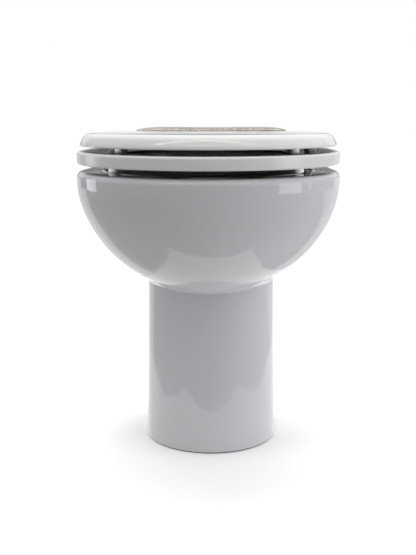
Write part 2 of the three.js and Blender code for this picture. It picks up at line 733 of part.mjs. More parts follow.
// Macerator pump
const housingInner = housingRadius - 1.5 * pipeWall;
const spoutRadius = dischargeRadius - 2 * runningGap;
const spoutInner = dischargeRadius - pipeWall - runningGap;
const spoutLine = housingFront + housingLength / 2 + seatingGap;
let housing = alongY(disc(housingRadius, housingFront, housingEnd));
const spout = disc(spoutRadius, 0, spoutTop - pumpAxisHeight);
housing = housing.add(spout.translate([dischargeOffset, spoutLine, 0]));
housing = housing.subtract(alongY(disc(housingInner, housingFront + pipeWall, housingEnd + pipeWall)));
housing = housing.subtract(alongY(disc(sealInner, housingFront - pipeWall, housingFront + 2 * pipeWall)));
const spoutBore = disc(spoutInner, 0, dischargeHeight);
housing = housing.subtract(spoutBore.translate([dischargeOffset, spoutLine, 0]));
place('macerator_housing', housing, 'blackPlastic', [0, 0, pumpAxisHeight]);

const plateThickness = 2;
const plateFront = housingFront + pipeWall + seatingGap;
let chopper = alongY(disc(housingInner - seatingGap, plateFront, plateFront + plateThickness));
const chopperHoles = 6;
const chopperHoleRadius = 6.5;
const chopperHoleCircle = 14;
for (let i = 0; i < chopperHoles; i += 1) {
  const angle = (2 * Math.PI * i) / chopperHoles;
  const hole = alongY(disc(chopperHoleRadius, plateFront - pipeWall, plateFront + pipeWall, smallSegments));
  const at = [chopperHoleCircle * Math.cos(angle), 0, chopperHoleCircle * Math.sin(angle)];
  chopper = chopper.subtract(hole.translate(at));
}
place('chopper_plate', chopper, 'steel', [0, 0, pumpAxisHeight]);

const bladeFront = plateFront + plateThickness + runningGap;
const bladeThickness = 3;
const bladeReach = housingInner - 5 * runningGap;
const bladeWidth = 14;
const bladeBar = box(2 * bladeReach, bladeThickness, bladeWidth);
const blade = bladeBar.translate([0, bladeFront + bladeThickness / 2, 0]);
const shaftHole = alongY(disc(shaftRadius + seatingGap, 0, 2 * housingEnd, smallSegments));
place('cutter_blade', blade.subtract(shaftHole), 'steel', [0, 0, pumpAxisHeight]);

const impellerFront = bladeFront + bladeThickness + seatingGap;
const impellerEnd = housingEnd - 3 * runningGap;
const vaneCount = 5;
const vaneThickness = 4;
let impeller = alongY(disc(3 * shaftRadius, impellerFront, impellerEnd, smallSegments));
const impellerDiscFront = impellerEnd - plateThickness;
impeller = impeller.add(alongY(disc(bladeReach, impellerDiscFront, impellerEnd)));
const vaneDepth = impellerEnd - impellerFront - 2 * runningGap;
const vaneReach = (bladeReach - shaftRadius) / 2 + shaftRadius - runningGap;
for (let i = 0; i < vaneCount; i += 1) {
  const vane = box(bladeReach - shaftRadius, vaneDepth, vaneThickness);
  const turn = (360 * i) / vaneCount;
  impeller = impeller.add(vane.translate([vaneReach, impellerEnd - vaneDepth / 2, 0]).rotate([0, turn, 0]));
}
place('pump_impeller', impeller.subtract(shaftHole), 'blackPlastic', [0, 0, pumpAxisHeight]);

const sealRadius = 2 * shaftRadius;
let backPlate = alongY(disc(housingRadius, backPlateFront, backPlateEnd));
backPlate = backPlate.subtract(alongY(disc(sealRadius + seatingGap, 0, 2 * backPlateEnd)));
place('pump_back_plate', backPlate, 'blackPlastic', [0, 0, pumpAxisHeight]);
const seal = alongY(tube(sealRadius, shaftRadius + slidingGap, backPlateFront, backPlateEnd, smallSegments));
place('shaft_seal', seal, 'rubber', [0, 0, pumpAxisHeight]);

// Motor
let can = alongY(disc(motorRadius, canFront, canEnd));
can = can.subtract(alongY(disc(motorRadius - motorWall, canFront + motorWall, canEnd + motorWall)));
can = can.subtract(alongY(disc(shaftRadius + slidingGap, 0, 2 * canEnd, smallSegments)));
place('motor_can', can, 'motorPaint', [0, 0, pumpAxisHeight]);

const armatureRadius = motorRadius - motorWall - 8 * runningGap;
const armatureFront = canFront + motorWall + 8 * runningGap;
const armatureEnd = canEnd - 12 * runningGap;
let armature = alongY(disc(shaftRadius, bladeFront - runningGap / 2, canEnd + motorWall, smallSegments));
armature = armature.add(alongY(disc(armatureRadius, armatureFront, armatureEnd)));
place('motor_armature', armature, 'steel', [0, 0, pumpAxisHeight]);

let endCap = alongY(disc(motorRadius, endCapFront, endCapEnd));
const capBearing = disc(shaftRadius + slidingGap, 0, endCapFront + endCapLength / 2, smallSegments);
endCap = endCap.subtract(alongY(capBearing));
place('motor_end_cap', endCap, 'blackPlastic', [0, 0, pumpAxisHeight]);

const cradleSideGap = 15.8;
const cradleWidth = 2 * (bracketFace - bracketFoot - cradleSideGap);
const cradleThickness = 4;
const saddleHeight = pumpAxisHeight - motorRadius / 2;
const cradleFront = canFront + cradleThickness;
const cradleLength = canEnd - cradleThickness - cradleFront;
let cradle = box(cradleWidth, cradleLength, cradleThickness / 2);
cradle = cradle.translate([0, cradleFront + cradleLength / 2, cradleThickness / 4]);
for (const at of [cradleFront + cradleThickness / 2, cradleFront + cradleLength - cradleThickness / 2]) {
  cradle = cradle.add(box(cradleWidth, cradleThickness, saddleHeight).translate([0, at, saddleHeight / 2]));
}
const canSpace = alongY(disc(motorRadius + seatingGap, 0, 2 * canEnd)).translate([0, 0, pumpAxisHeight]);
cradle = cradle.subtract(canSpace);
place('motor_cradle', cradle, 'steel');

// Discharge line
const valveFront = spoutLine + dischargeRadius + bendRun;
const spigotFront = panelBack - valveRearGap - elbowFlangeThickness;
const valveEnd = spigotFront - seatingGap;
const dischargeEnd = valveFront - seatingGap;
const bendBottom = spoutTop - dischargeHeight + seatingGap;
const bendEnd = dischargeEnd - spoutLine;
const socketDepth = 10;
const bendLow = bendBottom - socketDepth;
let bend = bendSolid(dischargeRadius, bendLow, 0, bendEnd);
bend = bend.add(alongY(disc(valveRadius, bendEnd - elbowFlangeThickness, bendEnd)));
bend = bend.subtract(bendSolid(spoutInner, bendLow - pipeWall, 0, bendEnd + pipeWall));
bend = bend.subtract(disc(spoutRadius + slidingGap, bendLow - pipeWall, bendBottom));
place('discharge_elbow', bend, 'greyPlastic', [dischargeOffset, spoutLine, dischargeHeight]);

const valveInner = valveRadius - pipeWall;
const valveSeatThickness = 3;
const flapFront = valveFront + elbowFlangeThickness + valveSeatThickness + seatingGap;
let valve = alongY(disc(valveRadius, valveFront, valveEnd));
const seatHole = dischargeRadius - pipeWall;
valve = valve.subtract(alongY(disc(seatHole, 0, 2 * valveFront)));
const seatFace = flapFront - seatingGap;
valve = valve.subtract(alongY(disc(valveInner, seatFace, 2 * valveFront)));
place('valve_body', valve, 'greyPlastic', [dischargeOffset, 0, dischargeHeight]);
const flap = alongY(disc(flapRadius, flapFront, flapFront + flapThickness));
place('valve_flap', flap, 'rubber', [dischargeOffset, 0, dischargeHeight]);

const spigotEnd = bowlRearDepth - spigotInset;
const barbHeight = 1.2;
const spigotInner = dischargeRadius - pipeWall + runningGap;
const spigotProfile = [
  [spigotInner, spigotFront], [valveRadius, spigotFront], [valveRadius, spigotFront + elbowFlangeThickness],
  [dischargeRadius - barbHeight, spigotFront + elbowFlangeThickness],
];
const barbCount = 2;
const barbPitch = (spigotEnd - spigotFront - elbowFlangeThickness) / (barbCount + 2);
for (let i = 0; i < barbCount; i += 1) {
  const barb = spigotEnd - (barbCount - i) * barbPitch;
  spigotProfile.push([dischargeRadius - barbHeight, barb], [dischargeRadius, barb + barbHeight]);
}
spigotProfile.push([dischargeRadius - barbHeight, spigotEnd]);
spigotProfile.push([spigotInner, spigotEnd], [spigotInner, spigotFront]);
const spigot = alongY(turned(spigotProfile));
place('discharge_spigot', spigot, 'greyPlastic', [dischargeOffset, 0, dischargeHeight]);

// Rinse valve at the back of the rim
const rinseStub = rinseBore - pipeWall;
const grommetFace = chamberFront + seatingGap;
const grommetBack = grommetFace + pipeWall;
const grommetInner = rinseStub + slidingGap;
const grommetOuter = rinseBore - seatingGap;
const grommet = alongY(turned([
  [grommetInner, rinseFront], [grommetOuter, rinseFront], [grommetOuter, grommetFace],
  [grommetFlange, grommetFace], [grommetFlange, grommetBack], [grommetInner, grommetBack],
  [grommetInner, rinseFront],
]));
place('rinse_grommet', grommet, 'rubber', [0, 0, rinseHeight]);

const bodyFront = grommetBack + seatingGap;
const bodySize = [56, 30, 20];
const bodyMiddle = bodyFront + bodySize[1] / 2;
const coilOffset = -13;
const supplyOffset = 15;
const supplyRadius = 8;
const supplyLength = 30;
const plungerStroke = 3;
const plungerLength = 26;
let valveBlock = box(...bodySize).translate([0, bodyMiddle, 0]);
valveBlock = valveBlock.add(alongY(disc(rinseStub, rinseFront - runningGap, bodyMiddle)));
const supply = disc(supplyRadius, -supplyLength - bodySize[2] / 2, 0);
valveBlock = valveBlock.add(supply.translate([supplyOffset, bodyMiddle, 0]));
const supplyBore = disc(supplyRadius - pipeWall / 2, -2 * supplyLength, 0);
valveBlock = valveBlock.subtract(supplyBore.translate([supplyOffset, bodyMiddle, 0]));
valveBlock = valveBlock.subtract(alongY(disc(rinseStub - pipeWall / 2, 0, bodyMiddle)));
const plungerWell = disc(plungerRadius + slidingGap, -2 * supplyLength, plungerStroke);
valveBlock = valveBlock.subtract(plungerWell.translate([coilOffset, bodyMiddle, 0]));
place('rinse_valve_body', valveBlock, 'whitePlastic', [0, 0, rinseHeight]);

const coilTop = -bodySize[2] / 2 - seatingGap;
const coilBottom = coilTop - coilLength;
const coil = turned([
  [0, coilBottom], [coilRadius, coilBottom], [coilRadius, coilTop], [plungerRadius + slidingGap, coilTop],
  [plungerRadius + slidingGap, coilBottom + pipeWall], [0, coilBottom + pipeWall],
]);
place('rinse_coil', coil, 'blackPlastic', [coilOffset, bodyMiddle, rinseHeight]);
const plungerTop = plungerStroke - seatingGap;
const plunger = disc(plungerRadius, plungerTop - plungerLength, plungerTop, smallSegments);
place('rinse_plunger', plunger, 'steel', [coilOffset, bodyMiddle, rinseHeight]);

// Access panel in the opening at the back, with the cable gland
const panelGap = 2 * seatingGap;
const panelHalfWidth = openingHalfWidth - panelGap;
let panel = archway(panelHalfWidth, openingHeight - panelGap, openingCorner, panelBack, panelFace);
const floorCut = box(bowlHalfWidth, bowlHalfWidth, 2 * pedestalWall);
panel = panel.subtract(floorCut.translate([0, panelFace, -pedestalWall + runningGap]));
const glandHeight = dischargeHeight - glandDrop;
const dischargeHole = alongY(disc(dischargeRadius + seatingGap, 0, 2 * panelFace));
panel = panel.subtract(dischargeHole.translate([dischargeOffset, 0, dischargeHeight]));
const glandHole = alongY(disc(glandRadius + slidingGap, 0, 2 * panelFace, smallSegments));
panel = panel.subtract(glandHole.translate([glandOffset, 0, glandHeight]));
place('access_panel', panel, 'whitePlastic');
const glandFlange = glandRadius + pipeWall;
const glandStart = panelFace - 3 * panelThickness;
const glandFace = panelFace + seatingGap;
const glandEnd = panelFace + 3 * pipeWall;
const glandInner = glandRadius / 2;
const gland = alongY(turned([
  [glandInner, glandStart], [glandRadius, glandStart], [glandRadius, glandFace],
  [glandFlange, glandFace], [glandFlange, glandEnd - pipeWall], [glandRadius, glandEnd],
  [glandInner, glandEnd], [glandInner, glandStart],
], smallSegments));
place('cable_gland', gland, 'blackPlastic', [glandOffset, 0, glandHeight]);

export default root;
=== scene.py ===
"""Electric marine toilet: the looks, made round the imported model.

Blender 4.5, metres, +Z up, the bowl's front faces -Y. Shapes are worked out in millimetres, with depths
measured from the bowl's widest line as on the construction, and turned to metres where a mesh is made.
"""

import json
import math

import bmesh
import bpy
import numpy as np
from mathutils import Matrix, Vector


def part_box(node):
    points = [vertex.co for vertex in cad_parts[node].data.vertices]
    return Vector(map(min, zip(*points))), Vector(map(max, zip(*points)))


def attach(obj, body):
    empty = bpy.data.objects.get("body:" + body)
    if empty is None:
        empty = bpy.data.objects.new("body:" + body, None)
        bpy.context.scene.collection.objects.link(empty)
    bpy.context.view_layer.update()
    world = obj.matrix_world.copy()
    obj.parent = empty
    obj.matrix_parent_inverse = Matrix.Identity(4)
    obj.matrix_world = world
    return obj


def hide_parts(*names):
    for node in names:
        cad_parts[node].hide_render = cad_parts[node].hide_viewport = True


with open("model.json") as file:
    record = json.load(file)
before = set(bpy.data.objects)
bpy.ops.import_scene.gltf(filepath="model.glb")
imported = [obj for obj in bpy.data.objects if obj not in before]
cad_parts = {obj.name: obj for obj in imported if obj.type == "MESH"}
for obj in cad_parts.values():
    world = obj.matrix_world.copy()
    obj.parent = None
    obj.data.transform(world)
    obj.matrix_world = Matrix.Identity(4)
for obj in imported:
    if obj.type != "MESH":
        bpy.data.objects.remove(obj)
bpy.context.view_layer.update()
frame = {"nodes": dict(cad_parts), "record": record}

MM = 0.001
ROUND = 96

# Driving sizes, in millimetres
BOWL_HALF_WIDTH = 188.8
BOWL_FRONT = 210.3
BOWL_REAR = 268.0
RIM_ROUND = 8.4
PEDESTAL_CENTRE = 86.0
PEDESTAL_HALF_WIDTH = 98.4
PEDESTAL_REAR = 238.2
PEDESTAL_WALL = 12.4
FOOT_ROUND = 1.3
# Height of the dark ring round the foot, which is painted as its contact shadow
SHADOW_RING_HEIGHT = 1.9
HOLLOW_CEILING = 228.0
OUTLET_RADIUS = 27.0
OUTLET_PLACE = 38.0
OUTLET_TOP = 248.0
ARCH_CORNER = 24.0
SEAT_RING_WIDTH = 66.0
PAD_RADIUS = {"lid": 9.0, "seat": 10.0}
PAD_STEM_RADIUS = 3.0
PAD_STEM_LENGTH = 6.0
LID_PAD_REACH = 3.2
BARREL_RADIUS = 7.1
BARREL_EDGE = 0.45
ROD_RADIUS = 5.0
SLEEVE_RADIUS = 6.7
RUNNING_FIT = 0.25
BORE_RADIUS = ROD_RADIUS + RUNNING_FIT
LEAF_THICKNESS = 2.6
STUD_RADIUS = 4.0
BOLT_RADIUS = 4.0
BOLT_FACE = 103.2
THREAD_PITCH = 1.25
PANEL_GAP = 0.6
FIELD_HEIGHT = 0.8
FIELD_INSET = 9.0

# Cutters run this far past what they cut
OVERRUN = 5.0
# Metal and plastic parts stop this far short of the china, board or panel that they stand on
FINE_GAP = 0.3
# Turned profiles stop this far from their axis, where a flat end closes them
CORE = 0.4
# Faces that meet at less than these angles, in degrees, are shaded as one, or get no rounded edge
SMOOTH_ANGLE = 38.0
BEVEL_ANGLE = 35.0


def low(node):
    """Lower corner of a node's box in millimetres, its depth measured from the widest line."""
    return np.array(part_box(node)[0]) / MM - np.array([0.0, WIDEST_LINE, 0.0])


def high(node):
    """Upper corner of a node's box, measured the same way."""
    return np.array(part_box(node)[1]) / MM - np.array([0.0, WIDEST_LINE, 0.0])


def middle(node):
    """Middle of a node's box, measured the same way."""
    return (low(node) + high(node)) / 2


def side_reach(node):
    """How far a node on one side stands from the middle line: its nearest and its farthest place."""
    return sorted((abs(low(node)[0]), abs(high(node)[0])))


# Places read from the frame
WIDEST_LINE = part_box("china_bowl")[0].y / MM + BOWL_FRONT
RIM_HEIGHT = high("china_bowl")[2]
SEAT_LOW, SEAT_HIGH = low("seat_ring"), high("seat_ring")
LID_LOW, LID_HIGH = low("lid"), high("lid")
_, HINGE_DEPTH, HINGE_HEIGHT = middle("hinge_rod")
HINGE_LINE = (0.0, HINGE_DEPTH, HINGE_HEIGHT)
PILLAR_PLACE = middle("hinge_pillar_right")[0]
SIDES = (("left", -1.0), ("right", 1.0))


# Meshes

def finish_mesh(made, smooth_angle=SMOOTH_ANGLE):
    """Normals outward, smooth where faces meet gently."""
    solid = bmesh.new()
    solid.from_mesh(made.data)
    if solid.calc_volume(signed=True) < 0.0:
        bmesh.ops.reverse_faces(solid, faces=solid.faces)
    solid.to_mesh(made.data)
    solid.free()
    made.data.shade_smooth()
    made.data.set_sharp_from_angle(angle=math.radians(smooth_angle))
    return made


def mesh_object(name, points, faces):
    """An object at the origin from points in millimetres, depths from the widest line, and faces."""
    placed = (np.asarray(points, float) + np.array([0.0, WIDEST_LINE, 0.0])) * MM
    mesh = bpy.data.meshes.new(name)
    mesh.from_pydata(placed.tolist(), [], faces)
    made = bpy.data.objects.new(name, mesh)
    bpy.context.scene.collection.objects.link(made)
    return finish_mesh(made)


def loft(name, rings, wrap=False):
    """Rings of equal point counts skinned in order, with flat ends or with the last joined to the first."""
    rings = np.asarray(rings, float)
    levels, count, _ = rings.shape
    level, step = np.meshgrid(np.arange(levels if wrap else levels - 1), np.arange(count), indexing="ij")
    above, beside = (level + 1) % levels, (step + 1) % count
    quads = [level * count + step, level * count + beside, above * count + beside, above * count + step]
    faces = np.stack(quads, -1).reshape(-1, 4).tolist()
    if not wrap:
        faces.append(list(range(count))[::-1])
        faces.append([(levels - 1) * count + i for i in range(count)])
    return mesh_object(name, rings.reshape(-1, 3), faces)


def soften(made, width, segments=3):
    """Edges rounded by a bevel of that width in millimetres wherever faces meet sharply."""
    bevel = made.modifiers.new("soft_edges", "BEVEL")
    bevel.width = width * MM
    bevel.segments = segments
    bevel.limit_method = "ANGLE"
    bevel.angle_limit = math.radians(BEVEL_ANGLE)
    bevel.harden_normals = True
    return made


def carve(base, cutters, operation="DIFFERENCE", smooth_angle=SMOOTH_ANGLE):
    """The base with each cutter taken away or joined on, as one plain mesh; the cutters are used up."""
    for cutter in cutters:
        modifier = base.modifiers.new("cut", "BOOLEAN")
        modifier.operation = operation
        modifier.solver = "EXACT"
        modifier.object = cutter
    graph = bpy.context.evaluated_depsgraph_get()
    mesh = bpy.data.meshes.new_from_object(base.evaluated_get(graph))
    base.modifiers.clear()
    base.data = mesh
    for cutter in cutters:
        bpy.data.objects.remove(cutter, do_unlink=True)
    return finish_mesh(base, smooth_angle)


# A rounded corner takes at most this share of the straight beside it
LONGEST_SHARE = 0.48


def rounded_line(corners, closed=False, steps=5):
    """A line through corners (a, b, radius): each corner is replaced by a curve that starts and ends one
    tangent length away and bends like an arc of the radius."""
    corners = np.asarray(corners, float)
    count = len(corners)
    line = []
    for index, (a, b, radius) in enumerate(corners):
        here = np.array([a, b])
        if not closed and index in (0, count - 1) or radius <= 0.0:
            line.append(here)
            continue
        before, after = corners[index - 1][:2], corners[(index + 1) % count][:2]
        back, ahead = before - here, after - here
        back_run, ahead_run = np.hypot(*back), np.hypot(*ahead)
        back, ahead = back / back_run, ahead / ahead_run
        turn = math.pi - math.acos(float(np.clip(back @ ahead, -1.0, 1.0)))
        reach = min(radius * math.tan(turn / 2), LONGEST_SHARE * back_run, LONGEST_SHARE * ahead_run)
        start, end = here + back * reach, here + ahead * reach
        for share in np.linspace(0.0, 1.0, steps + 1):
            line.append((1 - share) ** 2 * start + 2 * share * (1 - share) * here + share ** 2 * end)
    return np.array(line)


AXIS_ORDER = {"X": (2, 0, 1), "Y": (0, 2, 1), "Z": (0, 1, 2)}


def lathe(name, profile, axis="Z", at=(0.0, 0.0, 0.0), wrap=False, count=ROUND):
    """A profile of (radius, along) turned round an axis through a place; wrapped profiles make tubes."""
    turn = np.linspace(0.0, 2.0 * np.pi, count, endpoint=False)
    rings = [np.column_stack([r * np.cos(turn), r * np.sin(turn), np.full(count, z)]) for r, z in profile]
    rings = np.array(rings)[:, :, AXIS_ORDER[axis]] + np.array(at)
    return loft(name, rings, wrap)


def bar(name, radius, start, end, axis="Z", at=(0.0, 0.0, 0.0), count=ROUND):
    """A plain round bar or cutter."""
    return lathe(name, [(radius, start), (radius, end)], axis, at, count=count)


def prism(name, outline, start, end, axis="X", at=(0.0, 0.0, 0.0)):
    """A flat outline (a, b) drawn out along an axis from start to end."""
    outline = np.asarray(outline, float)
    rings = [np.column_stack([outline, np.full(len(outline), level)]) for level in (start, end)]
    rings = np.array(rings)[:, :, AXIS_ORDER[axis]] + np.array(at)
    return loft(name, rings)


def hexagon(radius):
    """Six corners at a radius."""
    turn = np.arange(6) * np.pi / 3.0
    return radius * np.column_stack([np.cos(turn), np.sin(turn)])


def threaded(start, end, crest, depth):
    """Corners of a saw tooth thread along a shank: its root and then its crest, once in each pitch."""
    corners = []
    for along in np.arange(start, end, THREAD_PITCH):
        corners += [(crest - depth, along, 0), (crest, along + 0.6, 0)]
    return corners


# Sine of the turn from the widest line where an oval's front power starts to give way, and the change's run
POWER_START = -0.10
POWER_CHANGE = 0.35
# How widely the crease that a power under two leaves on the middle line is rounded off
CREASE_EASE = 0.04


def oval(height, half_width, front, rear, centre, rear_power, front_power=2.0, count=240):
    """Level rings in polar form: radius = (|cos|^p + |sin|^p)^(-1/p), scaled by the half width across and by
    its own reach in front of and behind the widest line. The power changes over smoothly beside that line."""
    turn = np.linspace(0.0, 2.0 * np.pi, count, endpoint=False)
    across, along = np.cos(turn)[None, :], np.sin(turn)[None, :]
    shape = np.shape(height)
    values = (height, half_width, front, rear, centre, rear_power, front_power)
    height, half_width, front, rear, centre, rear_power, front_power = (
        np.broadcast_to(np.asarray(value, float), shape)[:, None] for value in values
    )
    share = np.clip((along - POWER_START) / POWER_CHANGE, 0.0, 1.0)
    share = share * share * (3.0 - 2.0 * share)
    power = front_power + (rear_power - front_power) * share
    reach = np.where(along < 0.0, front + centre, rear - centre)
    ease = CREASE_EASE * np.clip(2.0 - power, 0.0, 1.0)
    slim = (across ** 2 + ease ** 2) ** (power / 2) - ease ** power
    radius = (slim + np.abs(along) ** power) ** (-1.0 / power)
    level = np.broadcast_to(height, radius.shape)
    return np.stack([half_width * radius * across, centre + reach * radius * along, level], -1)


# A smoothing bell curve is cut off at this many softnesses
BELL_REACH = 4


def faired(stations, spacing, softness, step=0.25):
    """Table rows resampled evenly along their own length, then smoothed by a bell curve of that softness."""
    stations = np.asarray(stations, float)
    run = np.r_[0.0, np.cumsum(np.sqrt((np.diff(stations[:, :4], axis=0) ** 2).sum(1)))]
    rows = np.stack([np.interp(np.arange(0.0, run[-1], step), run, column) for column in stations.T], 1)
    reach = max(1, int(BELL_REACH * softness / step))
    bell = np.exp(-0.5 * (np.arange(-reach, reach + 1) * step / softness) ** 2)
    before = 2.0 * rows[0] - rows[reach:0:-1]
    after = 2.0 * rows[-1] - rows[-2:-reach - 2:-1]
    padded = np.concatenate([before, rows, after])
    rows = np.stack([np.convolve(column, bell / bell.sum(), "valid") for column in padded.T], 1)
    picks = np.linspace(0, len(rows) - 1, max(2, int(run[-1] / spacing))).astype(int)
    return rows[picks]


def dress(made, body, nodes, material):
    """The piece rides on a body, takes the place of its nodes, and wears a material."""
    made.data.materials.clear()
    made.data.materials.append(material)
    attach(made, body)
    if nodes:
        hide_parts(*nodes)
    return made


# China bowl on its pedestal

# Bowl's side and front: height where the curve is widest, depth from there to its foot, and its two powers
SIDE_CURVE = (415.68, 167.26, 1.7587, 2.1846)
FRONT_CURVE = (410.54, 153.81, 1.6441, 2.9144)
# Height from which the rows lie closer, and how softly bowl and pedestal meet
BELLY_START = 236.0
BELLY_FILLET = 0.35
# Pedestal: how much it widens for each millimetre down and from which height, then size, height and spread of
# the flare at its foot
TAPER, TAPER_TOP = 0.0187, 240.0
FLARE, FLARE_HEIGHT, FLARE_SPREAD = 1.0, 10.0, 28.0
# How the rings' middle moves forward to the widest line: height of the start, spread and power
FORWARD_START, FORWARD_SPREAD, FORWARD_POWER = 254.0, 48.0, 1.5
# Rear powers of the pedestal and of the rim, then height and softness of the change
SQUARE_POWER, RIM_POWER = 5.0, 2.9
SQUARE_TOP, SQUARE_FADE = 275.0, 22.0
# How much keener than an ellipse the belly is in front, then height and spread of that
BELLY_NOSE, NOSE_HEIGHT, NOSE_SPREAD = 0.13, 340.0, 36.0
# How far below the rim's top the bowl's rear reaches its furthest
REAR_TOP = 10.0
# Height and front reach of the belly's underside
BELLY_UNDERSIDE = [
    (255.4, 12.4), (256.1, 16), (256.4, 20), (257.0, 30), (257.9, 45), (259.2, 62), (260.6, 73),
    (263.0, 82.4),
]
# Basin from the floor up: height, half width, front, rear, centre, rear power
BASIN_STATIONS = [
    (254, 27, -11, 65, 38, 2), (258, 33.5, -2, 72, 38, 2), (263, 43.5, 13, 81, 38, 2),
    (267, 54, 31, 90, 37, 2.1), (271, 65, 49, 100, 35, 2.1), (275, 75, 66, 109, 32, 2.2),
    (280, 85.5, 85, 119, 28, 2.2), (286, 96.5, 104, 131, 23, 2.3), (293, 107, 121, 142, 16, 2.3),
    (310, 126.5, 147, 162, 8, 2.4), (326, 140, 162, 174, 3, 2.5), (341, 150.5, 172.5, 181, 0, 2.5),
    (356, 158.8, 180.8, 185, 0, 2.5), (371, 165, 187, 187, 0, 2.5), (386, 169.5, 191.5, 188, 0, 2.5),
    (398, 170, 192, 188, 0, 2.5), (404, 164, 186, 183, 0, 2.5), (407, 152, 174, 171, 0, 2.5),
    (410, 146, 168, 165, 0, 2.5), (416, 145, 167, 164, 0, 2.5), (424, 145.2, 167.2, 164.2, 0, 2.5),
    (428.5, 147, 169, 166, 0, 2.5), (RIM_HEIGHT, 151.5, 173.5, 170.5, 0, 2.5),
]
# Chamber behind the basin: height, half width, front, rear
CHAMBER_STATIONS = [
    (226, 70, 50.1, 221.1), (240, 76.1, 70.9, 225.1), (254, 80.1, 80.4, 228.1), (267, 84, 98, 230.1),
    (280, 87, 132.2, 232), (293, 88.9, 157, 235), (310, 91.9, 176.8, 238), (341, 95.9, 195, 244),
    (371, 100, 202.1, 249), (414, 100, 202.1, 249),
]


def swelling(z, reach, curve):
    """Reach of the bowl's skin at a height: reach * (1 - ((top - z) / depth)^a)^(1/b)."""
    top, depth, fall, turn = curve
    run = np.clip((top - z) / depth, 0.0, 1.0)
    return reach * np.clip(1.0 - run ** fall, 0.0, 1.0) ** (1.0 / turn)


def hump(z, height, spread_out, power=2.0):
    """A bump that is one at a height and dies away beside it: exp(-|(z - height) / spread|^power)."""
    return np.exp(-(np.abs((z - height) / spread_out) ** power))


def shell_rows():
    """Outside of the china from above the foot to under the rim: height, half width, front, rear, centre and
    two powers. The bowl swells out in superellipses of the height, and the pedestal narrows slightly up from
    a flare at its foot. The two meet in a soft maximum, and in front the belly's underside is listed."""
    foot_rows = np.arange(FOOT_ROUND + SHADOW_RING_HEIGHT, BELLY_START, 2.0)
    z = np.concatenate([foot_rows, np.arange(BELLY_START, RIM_HEIGHT - RIM_ROUND, 0.5)])
    foot_flare = FLARE * hump(z, FLARE_HEIGHT, FLARE_SPREAD)
    taper = PEDESTAL_HALF_WIDTH + TAPER * np.clip(TAPER_TOP - z, 0.0, None) + foot_flare
    side = swelling(z, BOWL_HALF_WIDTH, SIDE_CURVE)
    half_width = BELLY_FILLET * np.logaddexp(taper / BELLY_FILLET, side / BELLY_FILLET)
    front = swelling(z, BOWL_FRONT, FRONT_CURVE)
    under = np.array(BELLY_UNDERSIDE, float)
    front = np.where(z < under[-1, 0], np.interp(z, under[:, 0], under[:, 1]), front)
    front = np.where(z < under[0, 0], half_width - PEDESTAL_CENTRE, front)
    rise = np.clip((z - BELLY_START) / (RIM_HEIGHT - REAR_TOP - BELLY_START), 0.0, 1.0)
    rear = PEDESTAL_REAR + (BOWL_REAR - PEDESTAL_REAR) * np.sin(0.5 * np.pi * rise) + foot_flare
    above = np.clip(z, FORWARD_START, None)
    centre = PEDESTAL_CENTRE * hump(above, FORWARD_START, FORWARD_SPREAD, FORWARD_POWER)
    power = RIM_POWER + (SQUARE_POWER - RIM_POWER) / (1.0 + np.exp((z - SQUARE_TOP) / SQUARE_FADE))
    nose = 2.0 - BELLY_NOSE * hump(z, NOSE_HEIGHT, NOSE_SPREAD)
    rows = np.stack([z, half_width, front, rear, centre, power, nose], 1)
    return faired(rows, spacing=1.4, softness=0.25)


def rounded_ends(row, radius, outwards, upwards, steps=7):
    """Rings that carry a row round a quarter circle of the radius, all its reaches changing alike."""
    made = []
    for angle in np.linspace(0.0, 0.5 * np.pi, steps)[1:]:
        grow = outwards * radius * (1.0 - math.cos(angle))
        made.append(row + np.array([upwards * radius * math.sin(angle), grow, grow, grow, 0.0, 0.0, 0.0]))
    return np.array(made)


# How far in the dark foot ring, which is painted shadow, stands on the floor, above its small edge and at its
# top where the glaze starts
FOOT_RING_INSETS = (0.9, 0.5, 0.5)
FOOT_RING_EDGE = 0.4
# Row of the outside, above the foot's flare, that the hollow's wall follows
UPRIGHT_ROW = 40


def china_rings(outside):
    """All rings of the china in one closed trip: foot, outside, rim, basin, outlet, ceiling, hollow wall."""
    foot = rounded_ends(outside[0], FOOT_ROUND, -1.0, -1.0)[::-1]
    # The foot's inset ring, which the china's material colours dark as painted contact shadow
    shadow_ring = np.array([foot[0]] * 3)
    shadow_ring[:, 1:4] -= np.array(FOOT_RING_INSETS)[:, None]
    shadow_ring[:, 0] = (0.0, FOOT_RING_EDGE, foot[0, 0])
    rim = rounded_ends(outside[-1], RIM_ROUND, -1.0, 1.0)
    rim[:, 0] = np.minimum(rim[:, 0], RIM_HEIGHT)
    basin = faired([(*station, 2.0) for station in BASIN_STATIONS], spacing=3.0, softness=2.5)[::-1]
    flat = np.linspace(rim[-1], basin[0], 9)[1:-1]
    flat[:, 0] = RIM_HEIGHT
    rows = np.concatenate([shadow_ring, foot, outside, rim, flat, basin])
    front, rear = OUTLET_RADIUS - OUTLET_PLACE, OUTLET_RADIUS + OUTLET_PLACE
    bore = np.array([OUTLET_RADIUS, front, rear, OUTLET_PLACE, 2.0, 2.0])
    _, half, _, rear, *_ = outside[UPRIGHT_ROW]
    half, rear = half - PEDESTAL_WALL, rear - PEDESTAL_WALL
    hollow = np.array([half, half - PEDESTAL_CENTRE, rear, PEDESTAL_CENTRE, SQUARE_POWER, 2.0])
    below = [(OUTLET_TOP, *bore)]
    below += [(HOLLOW_CEILING, *(bore * (1.0 - share) + hollow * share)) for share in (0.0, 0.35, 0.7)]
    below += [(level, *hollow) for level in np.linspace(HOLLOW_CEILING, 0.0, 12)]
    count = 288
    return np.concatenate([oval(*rows.T, count=count), oval(*np.array(below).T, count=count)])


def arch_outline(half_width, top, corner, bottom):
    """A door shape: upright sides and rounded top corners."""
    corners = [(half_width, bottom, 0.0), (half_width, top, corner), (-half_width, top, corner)]
    return rounded_line([*corners, (-half_width, bottom, 0.0)], steps=10)


